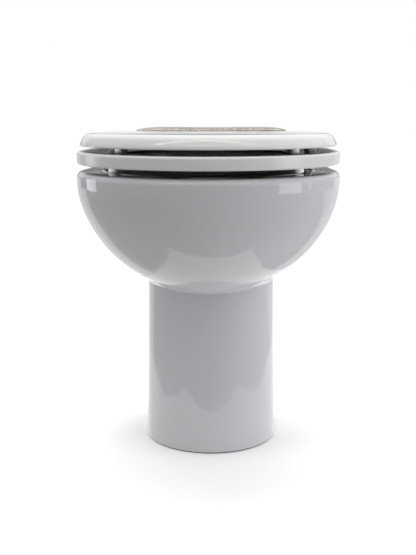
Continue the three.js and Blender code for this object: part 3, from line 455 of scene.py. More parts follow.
def rear_face(outside, x, z):
    """Depth of the pedestal's rear face at a place across and a height."""
    rows = [np.interp(z, outside[:, 0], outside[:, column]) for column in (1, 3, 4, 5)]
    half_width, rear, centre, power = rows
    return centre + (rear - centre) * (1.0 - np.abs(x / half_width) ** power) ** (1.0 / power)


# Where the arch cutter ends under the floor and starts inside the hollow
ARCH_FOOT = -12.0
ARCH_START = 210.0
# Holes drilled through the china: radius, and from where to where the drill runs
STUD_HOLE = (6.0, 400.0, 440.0)
BOLT_HOLE = (4.4, 70.0, 115.0)
RINSE_HOLE = (11.0, 175.0, 215.0)


def arch_cutter(outside, edge_round=2.0):
    """The opening at the back, flared along a quarter circle where it meets the rear face."""
    panel = high("access_panel")
    outline = arch_outline(panel[0] + PANEL_GAP, panel[2] + PANEL_GAP, ARCH_CORNER, ARCH_FOOT)
    following = np.roll(outline, -1, 0) - np.roll(outline, 1, 0)
    out = np.column_stack([following[:, 1], -following[:, 0]]) / np.hypot(*following.T)[:, None]
    face = rear_face(outside, outline[:, 0], np.clip(outline[:, 1], FOOT_ROUND, None))
    rings = [np.column_stack([outline[:, 0], np.full(len(outline), ARCH_START), outline[:, 1]])]
    for angle in np.linspace(0.0, 0.5 * np.pi, 6):
        grown = outline + out * edge_round * (1.0 - math.cos(angle))
        rings.append(np.column_stack([grown[:, 0], face - edge_round * (1.0 - math.sin(angle)), grown[:, 1]]))
    rings.append(rings[-1] + np.array([0.0, 4.0 * OVERRUN, 0.0]))
    return loft("arch_cutter", rings)


def make_china():
    outside = shell_rows()
    body = loft("china_bowl_glazed", china_rings(outside), wrap=True)
    z, half, front, rear = np.array(CHAMBER_STATIONS).T
    chamber = oval(z, half, -front, rear, (front + rear) / 2, rear_power=3.0, front_power=6.0, count=96)
    cutters = [arch_cutter(outside), loft("chamber_cutter", chamber)]
    _, bolt_y, bolt_z = middle("bracket_bolt_right")
    for _, side in SIDES:
        stud = (side * PILLAR_PLACE, HINGE_DEPTH, 0.0)
        cutters.append(bar("stud_cutter", *STUD_HOLE, "Z", stud, 32))
        radius, start, end = BOLT_HOLE
        cutters.append(bar("bolt_cutter", radius, side * start, side * end, "X", (0.0, bolt_y, bolt_z), 32))
    grommet = (0.0, 0.0, middle("rinse_grommet")[2])
    cutters.append(bar("rinse_cutter", *RINSE_HOLE, "Y", grommet, 48))
    dress(carve(body, cutters), "base", ["china_bowl"], CHINA)


# Seat ring and lid

BOARD_COUNT = 360
# Lid's edge from under up to the crown: how far in from its widest outline, and how far above its underside
LID_EDGE = [
    (4.6, -0.8), (1.2, -0.8), (0.3, -0.4), (0.0, 0.7), (1.5, 4.4), (3.5, 8.0), (5.5, 11.2), (8.2, 13.9),
    (12.0, 15.7), (16.5, 16.6), (21.0, 16.9),
]
LID_DOME = 0.66
BOARD_POWER = 3.2
# Seat's top: how far in it stays level, and how far it has fallen near its inner edge and at it
SEAT_LEVEL = 26.0
SEAT_FALLS = (4.2, 8.5)


def make_seat():
    """Ring section: upright outer face, softly rounded edges and a top that falls away to the opening."""
    thick = SEAT_HIGH[2] - SEAT_LOW[2]
    width = SEAT_RING_WIDTH
    near_edge, at_edge = thick - np.array(SEAT_FALLS)
    corners = [
        (0.0, 0.0, 2.6), (0.0, thick, 4.4), (SEAT_LEVEL, thick, 30.0), (0.95 * width, near_edge, 6.0),
        (width, at_edge, 6.0), (width, 0.0, 2.6),
    ]
    inset, up = rounded_line(corners, closed=True, steps=7).T
    reaches = (SEAT_HIGH[0] - inset, -SEAT_LOW[1] - inset, SEAT_HIGH[1] - inset)
    rings = oval(SEAT_LOW[2] + up, *reaches, 0.0, BOARD_POWER - inset / width, count=BOARD_COUNT)
    ring = loft("seat_ring_enamelled", rings, wrap=True)
    dress(ring, "seat", ["seat_ring"], SEAT_ENAMEL)


def make_lid():
    """Edge: a small round under, then a quarter of an ellipse up to the crown, which is a very flat dome."""
    reach = np.array([LID_HIGH[0], -LID_LOW[1], LID_HIGH[1]])
    rows = [(up, *(reach - inset)) for inset, up in LID_EDGE]
    inset, crown = LID_EDGE[-1]
    for share in np.linspace(1.0, 0.01, 24)[1:]:
        rows.append((crown + LID_DOME * (1.0 - share ** 2), *((reach - inset) * share)))
    up, half_width, front, rear = faired(rows, spacing=1.0, softness=0.6).T
    rings = oval(LID_LOW[2] + up, half_width, front, rear, 0.0, BOARD_POWER, count=BOARD_COUNT)
    dress(loft("lid_enamelled", rings), "lid", ["lid"], LID_ENAMEL)


def make_pads():
    """Soft rest pads: a button with a rounded face, narrowed to a stem that plugs into the board above. The
    lid's front ones reach a little further down, onto the seat's top where it falls away to the opening."""
    pads = []
    for board, radius in PAD_RADIUS.items():
        for place in ("front_left", "front_right", "rear_left", "rear_right"):
            node = f"{board}_pad_{place}"
            x, y, _ = middle(node)
            bottom, top = low(node)[2], high(node)[2]
            if node.startswith("lid_pad_front"):
                bottom -= LID_PAD_REACH
            face = top - PAD_STEM_LENGTH
            corners = [
                (CORE, bottom, 0.0), (radius - 0.9, bottom, 1.6), (radius, bottom + 2.6, 2.0),
                (radius - 0.4, face, 0.8), (PAD_STEM_RADIUS, face, 0.0), (PAD_STEM_RADIUS, top, 0.6),
                (CORE, top, 0.0),
            ]
            pad = lathe(f"{node}_moulded", rounded_line(corners), "Z", (x, y, 0.0))
            pads.append(dress(pad, board, [node], PAD))
    return pads


# Hinge

def make_rod():
    """The rod with the fixed sleeve that fills the space between the left lid leaf and the collar."""
    end = high("hinge_rod")[0]
    left, right = high("lid_hinge_leaf_left")[0] + RUNNING_FIT, low("hinge_collar")[0] - RUNNING_FIT
    corners = [
        (CORE, -end, 0), (ROD_RADIUS, -end, 0.8), (ROD_RADIUS, left, 0), (SLEEVE_RADIUS, left, 0.5),
        (SLEEVE_RADIUS, right, 0.5), (ROD_RADIUS, right, 0), (ROD_RADIUS, end, 0.8), (CORE, end, 0),
    ]
    rod = lathe("hinge_rod_plated", rounded_line(corners, steps=3), "X", HINGE_LINE)
    dress(rod, "base", ["hinge_rod"], CHROME)


def make_collar():
    """A plated barrel bored for the rod, with the hole of its set screw on top."""
    start, end = low("hinge_collar")[0], high("hinge_collar")[0]
    corners = [
        (BORE_RADIUS, start, 0.2), (BARREL_RADIUS, start, BARREL_EDGE), (BARREL_RADIUS, end, BARREL_EDGE),
        (BORE_RADIUS, end, 0.2),
    ]
    line = rounded_line(corners, closed=True, steps=3)
    collar = lathe("hinge_collar_plated", line, "X", HINGE_LINE, wrap=True)
    hole_place = ((start + end) / 2, HINGE_DEPTH, HINGE_HEIGHT)
    hole = bar("set_screw_cutter", 1.6, BORE_RADIUS + 0.35, BARREL_RADIUS + OVERRUN, "Z", hole_place, 24)
    dress(carve(collar, [hole]), "base", ["hinge_collar"], CHROME)


def make_caps():
    """Bullet shaped end caps: a quarter ellipse turned about the hinge line, bored for the rod's end."""
    for name, side in SIDES:
        node = f"hinge_cap_{name}"
        near, far = side_reach(node)
        line = [(CORE, near + 12.0), (BORE_RADIUS, near + 12.0), (BORE_RADIUS, near)]
        line += [(BARREL_RADIUS - BARREL_EDGE, near), (BARREL_RADIUS - 0.13, near + 0.13)]
        for angle in np.linspace(0.01, 0.5 * np.pi - 0.03, 26):
            line.append((BARREL_RADIUS * math.cos(angle), near + (far - near) * math.sin(angle)))
        line = [(radius, side * along) for radius, along in line]
        cap = lathe(f"{node}_plated", line, "X", HINGE_LINE)
        dress(cap, "base", [node], CHROME)


# Radii of a pillar's foot on the rim and of its stem, and where the stem ends inside the barrel
PILLAR_FOOT_RADIUS = 16.0
PILLAR_STEM_RADIUS = 6.0
STEM_TOP = HINGE_HEIGHT - 2.0


def make_pillars():
    """A domed foot on the rim, a waisted stem up to the barrel and a threaded stud down through the china."""
    root = STUD_RADIUS - 0.45
    base = RIM_HEIGHT + FINE_GAP
    half = low("hinge_cap_right")[0] - RUNNING_FIT - PILLAR_PLACE
    for name, side in SIDES:
        node = f"hinge_pillar_{name}"
        bottom = low(node)[2]
        corners = [
            (CORE, bottom, 0), (STUD_RADIUS - 0.9, bottom, 0),
            *threaded(bottom + 1.0, base - 2.0, STUD_RADIUS, STUD_RADIUS - root), (root, base, 0),
            (PILLAR_FOOT_RADIUS, base, 0.5), (PILLAR_FOOT_RADIUS, base + 2.2, 1.0), (9.0, base + 4.2, 4.0),
            (PILLAR_STEM_RADIUS, base + 9.0, 7.0), (PILLAR_STEM_RADIUS, STEM_TOP, 0), (CORE, STEM_TOP, 0),
        ]
        place = (side * PILLAR_PLACE, HINGE_DEPTH, 0.0)
        stem = lathe(f"{node}_plated", rounded_line(corners, steps=4), "Z", place, count=ROUND // 2)
        start, end = side * PILLAR_PLACE - half, side * PILLAR_PLACE + half
        solid = bar("pillar_barrel", BARREL_RADIUS, start, end, "X", HINGE_LINE)
        stem = carve(stem, [solid], "UNION")
        bore = bar("bore_cutter", BORE_RADIUS, start - OVERRUN, end + OVERRUN, "X", HINGE_LINE)
        dress(carve(stem, [bore], smooth_angle=50.0), "base", [node], CHROME)


def leaf_outline(underside):
    """Side view of a leaf: most of the barrel, the web down its front and the plate under the board."""
    web_front = -BARREL_RADIUS
    web_back = web_front + LEAF_THICKNESS
    top = underside - FINE_GAP - HINGE_HEIGHT
    bottom = top - LEAF_THICKNESS
    front = low("lid_hinge_leaf_left")[1] - HINGE_DEPTH
    corners = [
        (web_front, 0.0, 0), (web_front, top, 1.6), (front, top, 0.6), (front, bottom, 0.9),
        (web_back, bottom, 4.0), (web_back, -math.sqrt(BARREL_RADIUS ** 2 - web_back ** 2), 0),
    ]
    line = rounded_line(corners, steps=5)
    first = math.atan2(line[-1][1], line[-1][0])
    turn = np.linspace(first, math.pi, 40)[1:-1]
    return np.concatenate([line, BARREL_RADIUS * np.column_stack([np.cos(turn), np.sin(turn)])])


def make_leaves():
    """Hinge leaves cut through by the rod's bore and by the holes of two screws."""
    for board, underside in (("seat", SEAT_LOW[2]), ("lid", LID_LOW[2])):
        for name, _ in SIDES:
            node = f"{board}_hinge_leaf_{name}"
            start, end = low(node)[0], high(node)[0]
            leaf = prism(f"{node}_plated", leaf_outline(underside), start, end, "X", HINGE_LINE)
            cutters = [bar("bore_cutter", BORE_RADIUS, start - OVERRUN, end + OVERRUN, "X", HINGE_LINE)]
            for index in (1, 2):
                x, y, _ = middle(f"{board}_leaf_screw_{name}_{index}")
                hole_place = (x, y, underside)
                cutters.append(bar("screw_cutter", 2.4, -2.0 * LEAF_THICKNESS, OVERRUN, "Z", hole_place, 32))
            leaf = carve(leaf, cutters, smooth_angle=30.0)
            dress(soften(leaf, width=0.4), board, [node], CHROME)


# Depth of the recess in a screw's head
CROSS_DEPTH = 1.1


def cross_cutter(at, depth, reach=2.0, arm=0.45):
    """A plus shaped recess that a driver fits, sunk upwards from a place by its depth."""
    outline = [
        (reach, -arm), (reach, arm), (arm, arm), (arm, reach), (-arm, reach), (-arm, arm), (-reach, arm),
        (-reach, -arm), (-arm, -arm), (-arm, -reach), (arm, -reach), (arm, -arm),
    ]
    return prism("cross_cutter", outline, -OVERRUN, depth, "Z", at)


# Wood screw: radii of its head, neck and thread's root, height of its head, and pitch of its thread
SCREW_HEAD_RADIUS = 4.2
SCREW_NECK_RADIUS = 2.0
SCREW_ROOT_RADIUS = 1.35
SCREW_HEAD = 2.0
SCREW_PITCH = 1.4


def make_leaf_screws():
    """Pan head screws driven up into the boards, with a cross recess and a pointed thread."""
    screws = [(board, name, index) for board in ("seat", "lid") for name, _ in SIDES for index in (1, 2)]
    for board, name, index in screws:
        node = f"{board}_leaf_screw_{name}_{index}"
        bottom, top = low(node)[2], high(node)[2]
        x, y, _ = middle(node)
        shank = bottom + SCREW_HEAD
        thread = []
        for height in np.arange(shank + 3.6, top - 2.0, SCREW_PITCH):
            root = SCREW_ROOT_RADIUS * min(1.0, (top - height) / 3.0)
            thread += [(root, height, 0), (root + 0.65, height + 0.5, 0)]
        corners = [
            (CORE, bottom, 0), (2.6, bottom, 1.0), (SCREW_HEAD_RADIUS, bottom + 1.2, 0.8),
            (SCREW_HEAD_RADIUS, shank, 0.2), (SCREW_NECK_RADIUS, shank, 0),
            (SCREW_NECK_RADIUS, shank + 3.0, 0), *thread, (CORE, top, 0),
        ]
        screw = lathe(f"{node}_turned", rounded_line(corners, steps=3), "Z", (x, y, 0.0), count=32)
        screw = carve(screw, [cross_cutter((x, y, bottom), CROSS_DEPTH)])
        dress(screw, board, [node], STEEL)


# Fixings in the pedestal's sides

# Bolt's head: its radius, how far it stands out, and radius and depth of its socket
HEAD_RADIUS = 7.0
HEAD_HEIGHT = 1.5
SOCKET_RADIUS = 2.3
SOCKET_DEPTH = 1.6


def make_bracket_bolts():
    """Button head bolts with a six sided socket, their shanks threaded inside the pedestal."""
    outer = BOLT_FACE + HEAD_HEIGHT
    for name, side in SIDES:
        node = f"bracket_bolt_{name}"
        inner, _ = side_reach(node)
        _, y, z = middle(node)
        corners = [
            (CORE, inner, 0), (BOLT_RADIUS - 0.6, inner, 0),
            *threaded(inner + 0.8, inner + 14.0, BOLT_RADIUS, 0.5), (BOLT_RADIUS, BOLT_FACE, 0),
            (HEAD_RADIUS, BOLT_FACE, 0.3), (HEAD_RADIUS, BOLT_FACE + 0.7, 0.5), (3.6, outer, 3.0),
            (CORE, outer, 0),
        ]
        line = [(radius, side * along) for radius, along in rounded_line(corners, steps=4)]
        bolt = lathe(f"{node}_plated", line, "X", (0.0, y, z), count=ROUND // 2)
        start, end = side * (outer - SOCKET_DEPTH), side * (outer + OVERRUN)
        cutter = prism("socket_cutter", hexagon(SOCKET_RADIUS), start, end, "X", (0.0, y, z))
        dress(carve(bolt, [cutter]), "base", [node], CHROME)


# Access panel, spigot and gland at the back

PANEL_HOLES = {"discharge_spigot": 19.3, "cable_gland": 8.25}
PANEL_SCREW_INSET = 5.0
PANEL_SCREW_HEIGHTS = (14.0, 170.0)


def make_panel():
    """A moulded panel with a raised field, drilled for the spigot and the gland, and held by four screws."""
    bottom, top = low("access_panel"), high("access_panel")
    half, back, front = top[0], bottom[1], top[1]
    face = front - FIELD_HEIGHT
    outline = arch_outline(half, top[2], ARCH_CORNER - PANEL_GAP, bottom[2])
    panel = prism("access_panel_moulded", outline, back, face, "Y")
    corner = ARCH_CORNER - FIELD_INSET
    field = arch_outline(half - FIELD_INSET, top[2] - FIELD_INSET, corner, bottom[2] + FIELD_INSET)
    panel = carve(panel, [prism("panel_field", field, back + 1.0, front, "Y")], "UNION")
    cutters = []
    for node, radius in PANEL_HOLES.items():
        x, _, z = middle(node)
        cutters.append(bar("hole_cutter", radius, back - OVERRUN, front + OVERRUN, "Y", (x, 0.0, z)))
    panel = soften(carve(panel, cutters, smooth_angle=30.0), width=0.5)
    dress(panel, "base", ["access_panel"], WHITE_PLASTIC)
    places = [(side * (half - PANEL_SCREW_INSET), z) for z in PANEL_SCREW_HEIGHTS for _, side in SIDES]
    for number, (x, z) in enumerate(places, 1):
        corners = [
            (CORE, face - 3.0, 0), (1.8, face - 3.0, 0), (1.8, face + 0.02, 0), (3.6, face + 0.02, 0.2),
            (3.6, face + 0.9, 0.6), (2.0, face + 1.9, 1.5), (CORE, face + 1.9, 0),
        ]
        screw = lathe(f"panel_screw_{number}", rounded_line(corners, steps=3), "Y", (x, 0.0, z), count=32)
        dress(screw, "base", [], STEEL)


# Discharge spigot: radii of its bore, flange and neck, thickness of its flange, and where its barbs start
SPIGOT_BORE = 16.0
FLANGE_RADIUS = 27.0
NECK_RADIUS = 17.8
FLANGE_THICKNESS = 6.0
BARB_PLACES = (33.0, 48.0)


def make_spigot():
    """Flanged hose spigot with two barbs, steep on the flange's side and slanting down to the hose's end."""
    node = "discharge_spigot"
    x, _, z = middle(node)
    start, end = low(node)[1], high(node)[1]
    shoulder = start + FLANGE_THICKNESS
    corners = [
        (SPIGOT_BORE, start, 0.4), (FLANGE_RADIUS, start, 0.8), (FLANGE_RADIUS, shoulder, 0.8),
        (NECK_RADIUS, shoulder, 1.5),
    ]
    for barb in BARB_PLACES:
        foot = start + barb
        corners += [(NECK_RADIUS, foot, 0.4), (19.0, foot + 1.0, 0.5), (18.7, foot + 3.0, 0.5)]
        corners += [(17.6, foot + 12.5, 0.5)]
    corners += [(17.4, end, 1.2), (SPIGOT_BORE, end, 0.8)]
    spigot = lathe(f"{node}_moulded", rounded_line(corners, True, 4), "Y", (x, 0.0, z), wrap=True)
    dress(spigot, "base", [node], GREY_PLASTIC)


# Cable gland: radii of its bore, body and dome nut, and the size of its collar
GLAND_BORE = 4.0
GLAND_RADIUS = 8.0
GLAND_NUT_RADIUS = 9.4
COLLAR_RADIUS = 12.0
COLLAR_THICKNESS = 5.0


def make_gland():
    """Cable gland: a threaded body through the panel, a six sided collar and a rounded dome nut."""
    node = "cable_gland"
    x, _, z = middle(node)
    start, end = low(node)[1], high(node)[1]
    face = high("access_panel")[1] + FINE_GAP
    corners = [
        (GLAND_BORE, start, 0.2), (GLAND_RADIUS, start, 0.5), (GLAND_RADIUS, face, 0),
        (GLAND_NUT_RADIUS, face, 0), (GLAND_NUT_RADIUS, end - 5.0, 2.0), (8.2, end, 2.5),
        (GLAND_BORE, end, 0.5),
    ]
    gland = lathe(f"{node}_moulded", rounded_line(corners, True, 4), "Y", (x, 0.0, z), wrap=True)
    collar = prism("gland_collar", hexagon(COLLAR_RADIUS), face, face + COLLAR_THICKNESS, "Y", (x, 0.0, z))
    start, end = face - OVERRUN, face + COLLAR_THICKNESS + OVERRUN
    collar = carve(collar, [bar("collar_cutter", GLAND_RADIUS + 0.8, start, end, "Y", (x, 0.0, z), 48)])
    gland = soften(carve(gland, [collar], "UNION", smooth_angle=30.0), width=0.4)
    dress(gland, "base", [node], BLACK_PLASTIC)


# Materials

def linear(hex_colour):
    """Linear RGBA from an sRGB hex value."""
    parts = [((hex_colour >> shift) & 255) / 255.0 for shift in (16, 8, 0)]
    return (*[part / 12.92 if part <= 0.04045 else ((part + 0.055) / 1.055) ** 2.4 for part in parts], 1.0)


def add(tree, kind, settings=None, inputs=None):
    """One node with its properties set, and its sockets given a value or linked to another node's output."""
    node = tree.nodes.new(kind)
    for name, value in (settings or {}).items():
        setattr(node, name, value)
    for name, value in (inputs or {}).items():
        if isinstance(value, bpy.types.NodeSocket):
            tree.links.new(value, node.inputs[name])
        else:
            node.inputs[name].default_value = value
    return node


def blank(name):
    """An empty material tree with its object coordinates."""
    material = bpy.data.materials.new(name)
    material.use_nodes = True
    tree = material.node_tree
    tree.nodes.clear()
    return material, tree, add(tree, "ShaderNodeTexCoord").outputs["Object"]


def noise(tree, place, size_mm, detail=2.0, stretch=None):
    """Noise whose blotches are about that many millimetres across, drawn out along an axis if stretched."""
    if stretch:
        place = add(tree, "ShaderNodeMapping", None, {"Vector": place, "Scale": stretch}).outputs["Vector"]
    inputs = {"Vector": place, "Scale": 1.0 / (size_mm * MM), "Detail": detail}
    return add(tree, "ShaderNodeTexNoise", None, inputs).outputs["Fac"]


def mixed(tree, factor, first, second):
    """A colour that runs from one to another with the factor."""
    inputs = {"Factor": factor, 6: first, 7: second}
    return add(tree, "ShaderNodeMix", {"data_type": "RGBA"}, inputs).outputs[2]


def between(tree, factor, first, second):
    """A colour that runs from one hex value to another with the factor."""
    return mixed(tree, factor, linear(first), linear(second))


def spread(tree, factor, first, second):
    """A number that runs from one value to another with the factor."""
    mapped = add(tree, "ShaderNodeMapRange", None, {"Value": factor, "To Min": first, "To Max": second})
    return mapped.outputs["Result"]


def bumped(tree, height, depth_mm, under=None):
    """A normal pressed in by the height times a depth, on top of another bump if one is given."""
    inputs = {"Height": height, "Distance": depth_mm * MM, "Strength": 1.0}
    if under:
        inputs["Normal"] = under
    return add(tree, "ShaderNodeBump", None, inputs).outputs["Normal"]


# How far away a facing surface still adds painted shade to a gap
GAP_REACH = 80.0


def painted_gap_shade(tree, colour, shut=0.15, clear=0.42, least=0.1):
    """Painted shade: the colour darkened by an ambient occlusion test where facing surfaces close in on a
    place, so that a narrow gap reads as black. Its least share is left where only the shut part of the sky is
    open, and all of it from the clear part on."""
    distance = {"Distance": GAP_REACH * MM}
    open_share = add(tree, "ShaderNodeAmbientOcclusion", {"samples": 6}, distance).outputs["AO"]
    inputs = {"Value": open_share, "From Min": shut, "From Max": clear, "To Min": least, "To Max": 1.0}
    kept = add(tree, "ShaderNodeMapRange", {"interpolation_type": "SMOOTHSTEP"}, inputs).outputs["Result"]
    return mixed(tree, kept, linear(0x000000), colour)


def surfaced(material, tree, **sockets):
    """Principled shader with the given sockets, wired to the output."""
    inputs = {name.replace("_", " "): value for name, value in sockets.items()}
    shader = add(tree, "ShaderNodeBsdfPrincipled", None, inputs)
    add(tree, "ShaderNodeOutputMaterial", None, {"Surface": shader.outputs["BSDF"]})
    return material


def vitreous_china():
    """Slip cast vitreous china under a fired glaze: wet gloss on cool white, with the faint swell of a glaze
    that ran before it set. A dark, duller ring round the foot is painted shadow for the thin contact shadow
    under its edge, and the colour also carries painted shade deep in narrow gaps."""
    material, tree, place = blank("vitreous_china_fired_glaze")
    swell = bumped(tree, noise(tree, place, 60.0), 0.05)
    ripple = bumped(tree, noise(tree, place, 9.0), 0.0015, swell)
    # Mask of the painted contact shadow: zero on the ring round the foot up to its top, one on the glaze
    # above
    height = add(tree, "ShaderNodeSeparateXYZ", None, {"Vector": place}).outputs["Z"]
    edge = {"Value": height, "From Min": SHADOW_RING_HEIGHT * MM, "From Max": (SHADOW_RING_HEIGHT + 0.3) * MM}
    glazed = add(tree, "ShaderNodeMapRange", {"clamp": True}, edge).outputs["Result"]
    white = between(tree, noise(tree, place, 80.0, 3.0), 0xD7D7DA, 0xDDDDE0)
    # Painted shadow: dark grey for the ring round the foot, where the contact shadow under its edge falls
    shadow_ring = between(tree, noise(tree, place, 1.5), 0x4E4C48, 0x625F5A)
    # Painted shade: the china's colour darkened deep in narrow gaps
    colour = painted_gap_shade(tree, mixed(tree, glazed, shadow_ring, white))
    return surfaced(material, tree, Base_Color=colour, Roughness=spread(tree, glazed, 0.7, 0.02),
                    IOR=1.52, Normal=ripple)


def sprayed_enamel(name, roughness, wave):
    """Polyester enamel sprayed on a wooden board: warm white, a shade softer than the glaze, with the slight
    orange peel and long waves that make reflections quiver. Polishing takes the waves and the haze away. Its
    colour carries painted shade deep in narrow gaps."""
    material, tree, place = blank(name)
    waves = bumped(tree, noise(tree, place, 40.0, 1.0), wave)
    peel = bumped(tree, noise(tree, place, 2.4, 1.0), 0.03 * wave, waves)
    # Painted shade: the enamel's colour darkened deep in narrow gaps
    colour = painted_gap_shade(tree, between(tree, noise(tree, place, 55.0, 3.0), 0xE7E6E3, 0xECEBE9))
    rough = spread(tree, noise(tree, place, 18.0), roughness - 0.02, roughness + 0.02)
    return surfaced(material, tree, Base_Color=colour, Roughness=rough, IOR=1.5, Normal=peel)


def moulded_vinyl():
    """Soft vinyl buttons: milky white, light bleeding in a little, dull skin with a fine mould grain."""
    material, tree, place = blank("moulded_soft_vinyl")
    white = between(tree, noise(tree, place, 4.0), 0xE4E4E2, 0xEDEDEB)
    grain = bumped(tree, noise(tree, place, 0.4), 0.01)
    return surfaced(material, tree, Base_Color=white, Roughness=0.42, Normal=grain,
                    Subsurface_Weight=0.25, Subsurface_Radius=(0.002, 0.0018, 0.0015), Subsurface_Scale=1.0)


def chromium_plate():
    """Chromium plate on polished brass: a mirror with a faint warm cast, buffing haze and fine wipe marks.
    Its colour is darkened in gaps and close corners as painted shade, which dims its reflections there.
    """
    material, tree, place = blank("chromium_plated_brass")
    wipe = noise(tree, place, 0.5, 2.0, (0.15, 1.0, 1.0))
    haze = noise(tree, place, 7.0, 3.0)
    plate = between(tree, haze, 0xC9C6C0, 0xD8D6D2)
    # Painted shade: the plate's colour darkened in gaps and close corners
    colour = painted_gap_shade(tree, plate, shut=0.45, clear=0.95, least=0.3)
    return surfaced(material, tree, Base_Color=colour, Metallic=1.0, Roughness=spread(tree, haze, 0.05, 0.13),
                    Normal=bumped(tree, wipe, 0.0008))


def stainless_steel():
    """Cold rolled stainless steel: grey metal with a fine grain along the rolling direction."""
    material, tree, place = blank("rolled_stainless_steel")
    grain = noise(tree, place, 0.25, 2.0, (1.0, 0.05, 1.0))
    colour = between(tree, noise(tree, place, 12.0), 0x9A9B9C, 0xB0B0AF)
    return surfaced(material, tree, Base_Color=colour, Metallic=1.0, Roughness=spread(tree, grain, 0.24, 0.4),
                    Normal=bumped(tree, grain, 0.002))


def moulded_plastic(name, first, second, roughness):
    """Injection moulded plastic: one colour with slow flow marks and the fine spark grain of its mould."""
    material, tree, place = blank(name)
    colour = between(tree, noise(tree, place, 22.0), first, second)
    rough = spread(tree, noise(tree, place, 8.0), roughness - 0.06, roughness + 0.06)
    grain = bumped(tree, noise(tree, place, 0.35), 0.008)
    return surfaced(material, tree, Base_Color=colour, Roughness=rough, Normal=grain)


def moulded_rubber():
    """Black EPDM rubber: dull, with a dusty bloom in soft patches."""
    material, tree, place = blank("moulded_epdm_rubber")
    colour = between(tree, noise(tree, place, 6.0, 4.0), 0x131313, 0x242424)
    grain = bumped(tree, noise(tree, place, 0.5), 0.02)
    return surfaced(material, tree, Base_Color=colour, Roughness=0.72, Normal=grain)


def stoved_paint():
    """Black paint stoved on the motor's steel can: half gloss with an even orange peel."""
    material, tree, place = blank("stoved_black_paint")
    colour = between(tree, noise(tree, place, 15.0), 0x242629, 0x303236)
    peel = bumped(tree, noise(tree, place, 1.2), 0.01)
    return surfaced(material, tree, Base_Color=colour, Roughness=0.34, Normal=peel)


CHINA = vitreous_china()
LID_ENAMEL = sprayed_enamel("sprayed_enamel_polished", 0.05, 0.004)
SEAT_ENAMEL = sprayed_enamel("sprayed_enamel_flatted", 0.24, 0.01)
PAD = moulded_vinyl()
CHROME = chromium_plate()
STEEL = stainless_steel()
BLACK_PLASTIC = moulded_plastic("moulded_black_nylon", 0x17181A, 0x222326, 0.46)
GREY_PLASTIC = moulded_plastic("moulded_grey_pvc", 0x4E5154, 0x5C5F62, 0.4)
WHITE_PLASTIC = moulded_plastic("moulded_white_abs", 0xDCDDDE, 0xE5E6E6, 0.3)
RUBBER = moulded_rubber()
MOTOR_PAINT = stoved_paint()

SLOT_MATERIALS = {
    "china": CHINA, "enamel": LID_ENAMEL, "pad": PAD, "chrome": CHROME, "steel": STEEL, "rubber": RUBBER,
    "black_plastic": BLACK_PLASTIC, "grey_plastic": GREY_PLASTIC, "white_plastic": WHITE_PLASTIC,
    "motor_paint": MOTOR_PAINT,
}


# Camera at the photograph's angle, for a picture 416 pixels wide and 555 high
IMAGE_HEIGHT = 555
FOCAL_PIXELS = 850.0
CAMERA_PLACE = (0.055, -1.2689, 0.5055)
CAMERA_YAW = 0.045
CAMERA_PITCH = 0.187


def set_camera():
    data = bpy.data.cameras.new("camera")
    data.sensor_width = 36.0
    data.lens = FOCAL_PIXELS * data.sensor_width / IMAGE_HEIGHT
    data.clip_start = 0.05
    data.clip_end = 60.0
    camera = bpy.data.objects.new("camera", data)
    camera.location = CAMERA_PLACE
    camera.rotation_euler = (0.5 * math.pi - CAMERA_PITCH, 0.0, CAMERA_YAW)
    bpy.context.scene.collection.objects.link(camera)
    bpy.context.scene.camera = camera


# Studio: a white platform in a dim room, a white world behind it for the camera alone, soft light from above

WHITE = (1.0, 1.0, 1.0, 1.0)


def stage_mesh(name, points, faces, material, camera=True, glossy=True, diffuse=True, shadow=True):
    """A stage object in metres that only the chosen kinds of ray can see."""
    mesh = bpy.data.meshes.new(name)
    mesh.from_pydata([tuple(map(float, point)) for point in points], [], faces)
    mesh.materials.append(material)
    made = bpy.data.objects.new(name, mesh)
    made.visible_camera = camera
    made.visible_glossy = glossy
    made.visible_diffuse = diffuse
    made.visible_shadow = shadow
    bpy.context.scene.collection.objects.link(made)
    return made


def glowing(name, strength, tint=WHITE):
    """Plain light of one strength, which may be a value or another node's output."""
    material, tree, _ = blank(name)
    glow_out(tree, strength, tint)
    return material


def glow_out(tree, strength, tint):
    """Wires a glow to the material's output."""
    glow = add(tree, "ShaderNodeEmission", None, {"Color": tint, "Strength": strength})
    add(tree, "ShaderNodeOutputMaterial", None, {"Surface": glow.outputs["Emission"]})


def lit_white(material, tree, glow):
    """Matte white that also glows a little, as a studio floor that is lit past white does."""
    return surfaced(material, tree, Base_Color=linear(0xEFEFEF), Roughness=1.0, Specular_IOR_Level=0.0,
                    Emission_Color=WHITE, Emission_Strength=glow)


# Edge of the white platform as shine shows it, in metres, anticlockwise from the front left
PLATFORM = [
    (-0.219, -0.2855, 0.009), (-0.145, -0.301, -0.007), (-0.043, -0.305, -0.013), (0.042, -0.290, -0.009),
    (0.134, -0.266, -0.002), (0.207, -0.241, 0.006), (0.250, -0.230, 0.014), (0.278, -0.208, 0.026),
    (0.269, -0.122, 0.030), (0.263, -0.040, 0.033), (0.240, -0.010, 0.040), (0.226, 0.020, 0.051),
    (0.226, 0.052, 0.061), (0.212, 0.070, 0.082), (0.200, 0.10, 0.10), (0.20, 0.70, 0.12),
    (-0.19, 0.70, 0.12), (-0.190, 0.072, 0.095), (-0.218, -0.007, 0.039), (-0.217, -0.154, 0.030),
    (-0.222, -0.215, 0.024), (-0.247, -0.269, 0.013),
]
PLATFORM_SHINE = 1.1
# Its flat part is this share of its plan, drawn in round this depth, and it lies on a base this far down
FLAT_SHARE = 0.65
FLAT_MIDDLE = 0.05
FLAT_LEVEL = -0.013
BASE_LEVEL = -0.014
FLOOR_REACH = 9.0
DOME_RADIUS = 5.0
